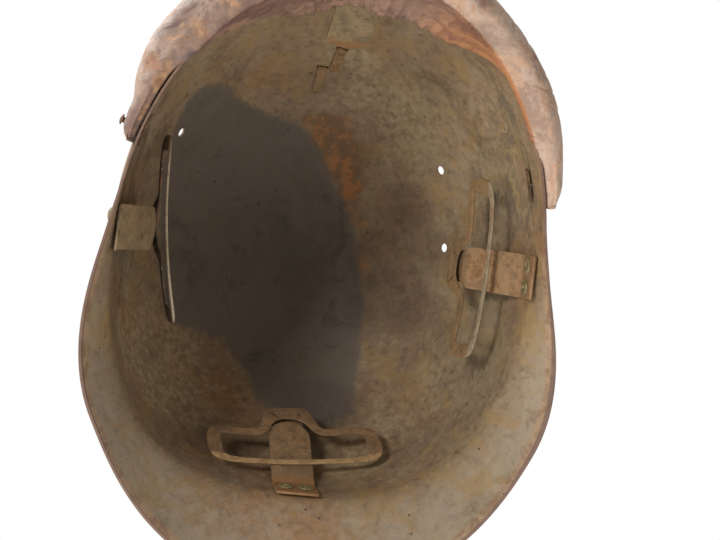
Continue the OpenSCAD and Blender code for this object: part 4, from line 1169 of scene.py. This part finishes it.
def rusty_finish(name, paint_colour, share, c, bright=0.0, seed=0.0, low_bar=None):
    """Rusted sheet steel with remains of paint; bright is the share of rubbed pale places, low_bar the paler colour of
    the lower bar of a frame, which is painted light."""
    f = Finish(name)
    at = f.stretched((1, 1, 1), turn=(seed, seed * 0.7, 0.3))
    big, mid = f.noise(60, 8, 0.68, at=at, warp=0.8), f.noise(210, 8, 0.72, at=at, warp=0.4)
    fine = f.noise(1100, 5, 0.65, at=at)
    base = f.two(big, 0.38, 0.62, shade(paint_colour, 0.86), shade(paint_colour, 1.12))
    # Painted light: the lower bar of a frame is paler where it catches the light
    if low_bar:
        painted_light = f.two(mid, 0.4, 0.6, shade(low_bar, 0.85), shade(low_bar, 1.1))
        base = f.mix(f.worn("low_bar", big, 0.8, 0.3, 0.8), base, painted_light)
    rust = f.step(f.plus(mid, f.apart(big, 1.5)), 0.72 - 0.4 * share, 0.92 - 0.4 * share)
    base = f.over(base, rust, 0.7, f.two(fine, 0.35, 0.65, shade(c.brown, 0.9), shade(c.rust, 0.85)))
    base = f.coat(base, (mid, 0.52, 0.66, 0.45, (0.30, 0.225, 0.165)), (mid, 0.47, 0.36, 0.4, (0.55, 0.40, 0.23)),
                  (fine, 0.54, 0.70, 0.4, (0.64, 0.54, 0.39)))
    end = f.worn("rust_end", mid, 1.2, 0.3, 0.9)
    base = f.over(base, end, 0.68, f.two(fine, 0.4, 0.6, (0.58, 0.40, 0.23), (0.46, 0.33, 0.22)))
    if bright:
        rub = f.step(f.noise(300, 6, 0.75, at=at), 0.62 - 0.15 * bright, 0.72 - 0.1 * bright)
        base = f.over(base, rub, 0.55, (0.68, 0.58, 0.43))
    pits = f.both(f.cells(420, at=at), big, (0.18, 0.1), (0.5, 0.6))
    base = f.over(base, pits, 0.35, (0.17, 0.13, 0.11))
    normal = f.bump(f.minus(f.relief(mid, fine), f.times(pits, 0.5)), 0.0004, 0.7)
    return f.done(base, f.step(mid, 0.35, 0.65, 0.55, 0.8), normal, 0.1, 0.3)


def brass_finish(c):
    """Dull brown brass, mottled with olive grey and brown rust."""
    f = Finish("rivet_dull_brass")
    mid, fine = f.noise(420, 7, 0.7), f.noise(1800, 4, 0.6)
    base = f.coat(f.two(mid, 0.38, 0.62, shade(c.brass, 0.75), shade(c.brass, 1.2)),
                  (f.noise(260, 5, 0.7), 0.54, 0.64, 0.6, (0.33, 0.33, 0.24)), (fine, 0.52, 0.66, 0.6, c.brown))
    return f.done(base, f.step(fine, 0.3, 0.7, 0.5, 0.75), f.bump(mid, 0.0003, 0.6), 0.15)


def fibre_finish():
    """Coarse matted fibre."""
    f = Finish("bumper_matted_fibre")
    hair = f.noise(260, 6, 0.75, at=f.stretched((1, 0.3, 2.4), turn=(0.3, 0.5, 0.2)), warp=2.0)
    base = f.two(hair, 0.35, 0.65, (0.30, 0.24, 0.18), (0.60, 0.52, 0.40))
    return f.done(base, 0.9, f.bump(hair, 0.0008, 0.8))


def floor_finish(c):
    """Pale floor that only a camera above it sees: every other ray passes, so that the open side is lit as in air."""
    mat = bpy.data.materials.new("stage_floor")
    mat.use_nodes = True
    mat.node_tree.nodes.clear()
    f = Nodes(mat.node_tree)
    above = f.minus(1.0, f.node("NewGeometry", "Backfacing", {}))
    seen = f.times(above, f.node("LightPath", "Is Camera Ray", {}))
    pale = f.node("BsdfDiffuse", 0, {"Color": linear(c.floor)})
    f.surface("Material", seen, f.node("BsdfTransparent", 0, {}), pale)
    return mat


def light_world(world):
    """A soft world, which is plain white where a camera, a reflection or glass shows it."""
    world.use_nodes = True
    world.node_tree.nodes.clear()
    f = Nodes(world.node_tree)
    rays = f.node("LightPath", None, {}).outputs
    shown = f.math("MAXIMUM", rays["Is Camera Ray"], rays["Is Glossy Ray"])
    shown = f.math("MAXIMUM", shown, rays["Is Transmission Ray"])
    soft = f.node("Background", 0, {"Color": (1.0, 0.985, 0.96, 1.0), "Strength": 0.42})
    f.surface("World", shown, soft, f.node("Background", 0, {"Color": (1.0, 1.0, 1.0, 1.0)}))


def wear(obj, mat):
    obj.data.materials.clear()
    obj.data.materials.append(mat)


def settle(obj, mat, body, slot, *nodes):
    """Gives a finished piece its material and its body, and hides the CAD nodes that it stands for; slot is not used.
    """
    wear(obj, mat)
    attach(obj, body)
    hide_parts(*nodes)
    return obj


def material(name, build, *args):
    return bpy.data.materials.get(name) or build(*args)


def rusty(name, *args):
    return material(name, rusty_finish, name, *args)


def put(name, data, at, right, up, back):
    """A lamp or a camera at its place, with its three axes."""
    obj = linked(name, data)
    obj.location = at
    obj.rotation_euler = Matrix(np.stack([right, up, back], 1).tolist()).to_euler()
    return obj


def settings(context):
    """The shell's form, the sizes of the fittings and the colours."""
    sc = context.scene
    return ShellForm(sc.shell_sizes), sc.fitting_sizes, sc.finish_colours


# Operators

class HELMET_OT_shell(bpy.types.Operator):
    """Make the pressed steel shell"""
    bl_idname = "helmet.shell"
    bl_label = "Shell"

    def execute(self, context):
        form, f, c = settings(context)
        settle(make_shell(form, f), material("shell_worn_paint", shell_finish, c), BODY, "shell_paint", "shell")
        return {"FINISHED"}


class HELMET_OT_bumper(bpy.types.Operator):
    """Make the padded leather bumper, its stuffing and its two split pins"""
    bl_idname = "helmet.bumper"
    bl_label = "Brow bumper"

    def execute(self, context):
        shell, _, c = settings(context)
        b = context.scene.bumper_sizes
        form = BumperForm(shell, b)
        leather = material("bumper_worn_leather", leather_finish, c)
        skin = settle(make_bumper(form), leather, BODY, "bumper_leather", "bumper_cover")
        fibre = material("bumper_matted_fibre", fibre_finish)
        fill = settle(make_filling(form), fibre, BODY, "bumper_stuffing", "bumper_filling")
        mat = rusty("pin_rusted", (0.30, 0.22, 0.16), c.wear, c)
        for side, a in (("left", b.pin_a), ("right", -b.pin_a)):
            settle(make_pin(form, a, side + "_split_pin"), mat, BODY, "rivet_brass", side + "_bumper_pin")
        return {"FINISHED"}


class HELMET_OT_badge(bpy.types.Operator):
    """Make the plain badge disc and its bent tabs"""
    bl_idname = "helmet.badge"
    bl_label = "Badge"

    def execute(self, context):
        form, f, c = settings(context)
        mat = rusty("badge_rusted_sheet", (0.46, 0.37, 0.25), c.wear, c, 0.2, 1.0)
        settle(make_badge_disc(form, f), mat, BODY, "badge_metal", "badge_disc")
        settle(make_badge_tabs(form, f), mat, BODY, "badge_metal", "badge_tabs")
        return {"FINISHED"}


class HELMET_OT_tongues(bpy.types.Operator):
    """Make the four spring tongues and their rivets"""
    bl_idname = "helmet.tongues"
    bl_label = "Spring tongues"

    def execute(self, context):
        form, f, c = settings(context)
        looks = {"front": ((0.455, 0.39, 0.285), 0.35, 0.0), "rear": ((0.48, 0.385, 0.28), 0.55, 0.1),
                 "left": ((0.52, 0.41, 0.295), 0.5, 0.0), "right": ((0.50, 0.42, 0.31), 0.2, 0.0)}
        brass = material("rivet_dull_brass", brass_finish, c)
        for k, side in enumerate(SIDES):
            colour, rusted, bright = looks[side]
            mat = rusty(side + "_tongue_steel", colour, rusted * 2 * c.wear, c, bright, 0.4 * k)
            settle(make_tongue(form, f, side), mat, BODY, "tongue_steel", side + "_tongue")
            settle(make_rivets(form, f, side), brass, BODY, "rivet_brass", side + "_rivets")
        return {"FINISHED"}


class HELMET_OT_frames(bpy.types.Operator):
    """Make the three liner frames that hang on the tongues"""
    bl_idname = "helmet.frames"
    bl_label = "Liner frames"

    def execute(self, context):
        form, f, c = settings(context)
        # Each frame: its place, the colour of its body and the paler colour of its lower bar, which is painted light;
        # the right frame's dark body is painted shade
        frames = (("rear", (0.0, 0.0, 0.0, f.rear_roll), (0.45, 0.35, 0.25), (0.62, 0.50, 0.35)),
                  ("left", (f.side_lift, f.left_tilt, 0.0, 0.0), (0.44, 0.345, 0.235), (0.51, 0.45, 0.36)),
                  ("right", (f.side_lift, f.right_tilt, f.right_turn, 0.0), (0.25, 0.20, 0.16), (0.58, 0.52, 0.43)))
        for k, (side, place, high, low) in enumerate(frames):
            mat = rusty(side + "_frame_steel", high, 0.7 * c.wear, c, 0.2, 0.9 + k, low)
            obj = make_liner_frame(form, f, side, place, 90 + 10 * k)
            settle(obj, mat, side + "_frame", "frame_steel", side + "_frame")
        return {"FINISHED"}


class HELMET_OT_stage(bpy.types.Operator):
    """Make the pale floor, the soft studio light and the camera"""
    bl_idname = "helmet.stage"
    bl_label = "Stage"

    def execute(self, context):
        sc = context.scene
        corners = [(x * FLOOR_W, y * FLOOR_W, FLOOR_Z) for x, y in ((-1, -1), (1, -1), (1, 1), (-1, 1))]
        floor = new_piece("stage_floor", np.array(corners), [[0, 1, 2, 3]])
        wear(floor, floor_finish(sc.finish_colours))
        sc.world = sc.world or bpy.data.worlds.new("stage_world")
        light_world(sc.world)
        for name, (at, power, wide) in LAMPS.items():
            lamp = bpy.data.lights.new(name, "AREA")
            lamp.energy, lamp.size, lamp.shape = power, wide, "DISK"
            back = unit(np.array(at) - LAMP_TARGET)
            side = unit(np.cross([0.0, 0.0, 1.0], back))
            put(name, lamp, at, side, np.cross(back, side), back)
        cam = bpy.data.cameras.new("photo_camera")
        cam.lens, cam.sensor_width = LENS, 36.0
        right, up, ahead = CAMERA_AXES
        sc.camera = put("photo_camera", cam, CAMERA_AT, right, up, -ahead)
        sc.view_settings.view_transform = "Standard"
        return {"FINISHED"}


class HELMET_PT_panel(bpy.types.Panel):
    """The helmet's pieces"""
    bl_idname = "HELMET_PT_panel"
    bl_label = "Helmet"
    bl_space_type = "VIEW_3D"
    bl_region_type = "UI"
    bl_category = "Helmet"

    def draw(self, context):
        for op in OPERATORS:
            self.layout.operator(op.bl_idname)
        for group in GROUPS:
            box = self.layout.box()
            values = getattr(context.scene, group)
            for key in values.bl_rna.properties.keys():
                if key not in ("rna_type", "name"):
                    box.prop(values, key)


OPERATORS = (HELMET_OT_shell, HELMET_OT_bumper, HELMET_OT_badge, HELMET_OT_tongues, HELMET_OT_frames, HELMET_OT_stage)
GROUPS = {"shell_sizes": ShellSizes, "bumper_sizes": BumperSizes, "fitting_sizes": FittingSizes,
          "finish_colours": FinishColours}


def register():
    for cls in (*GROUPS.values(), *OPERATORS, HELMET_PT_panel):
        bpy.utils.register_class(cls)
    for name, cls in GROUPS.items():
        setattr(bpy.types.Scene, name, PointerProperty(type=cls))


def unregister():
    for name in GROUPS:
        delattr(bpy.types.Scene, name)
    for cls in (HELMET_PT_panel, *OPERATORS, *GROUPS.values()):
        bpy.utils.unregister_class(cls)


def main():
    register()
    bpy.ops.helmet.shell()
    bpy.ops.helmet.bumper()
    bpy.ops.helmet.badge()
    bpy.ops.helmet.tongues()
    bpy.ops.helmet.frames()
    bpy.ops.helmet.stage()
    bpy.context.view_layer.update()


if __name__ == "__main__":
    main()
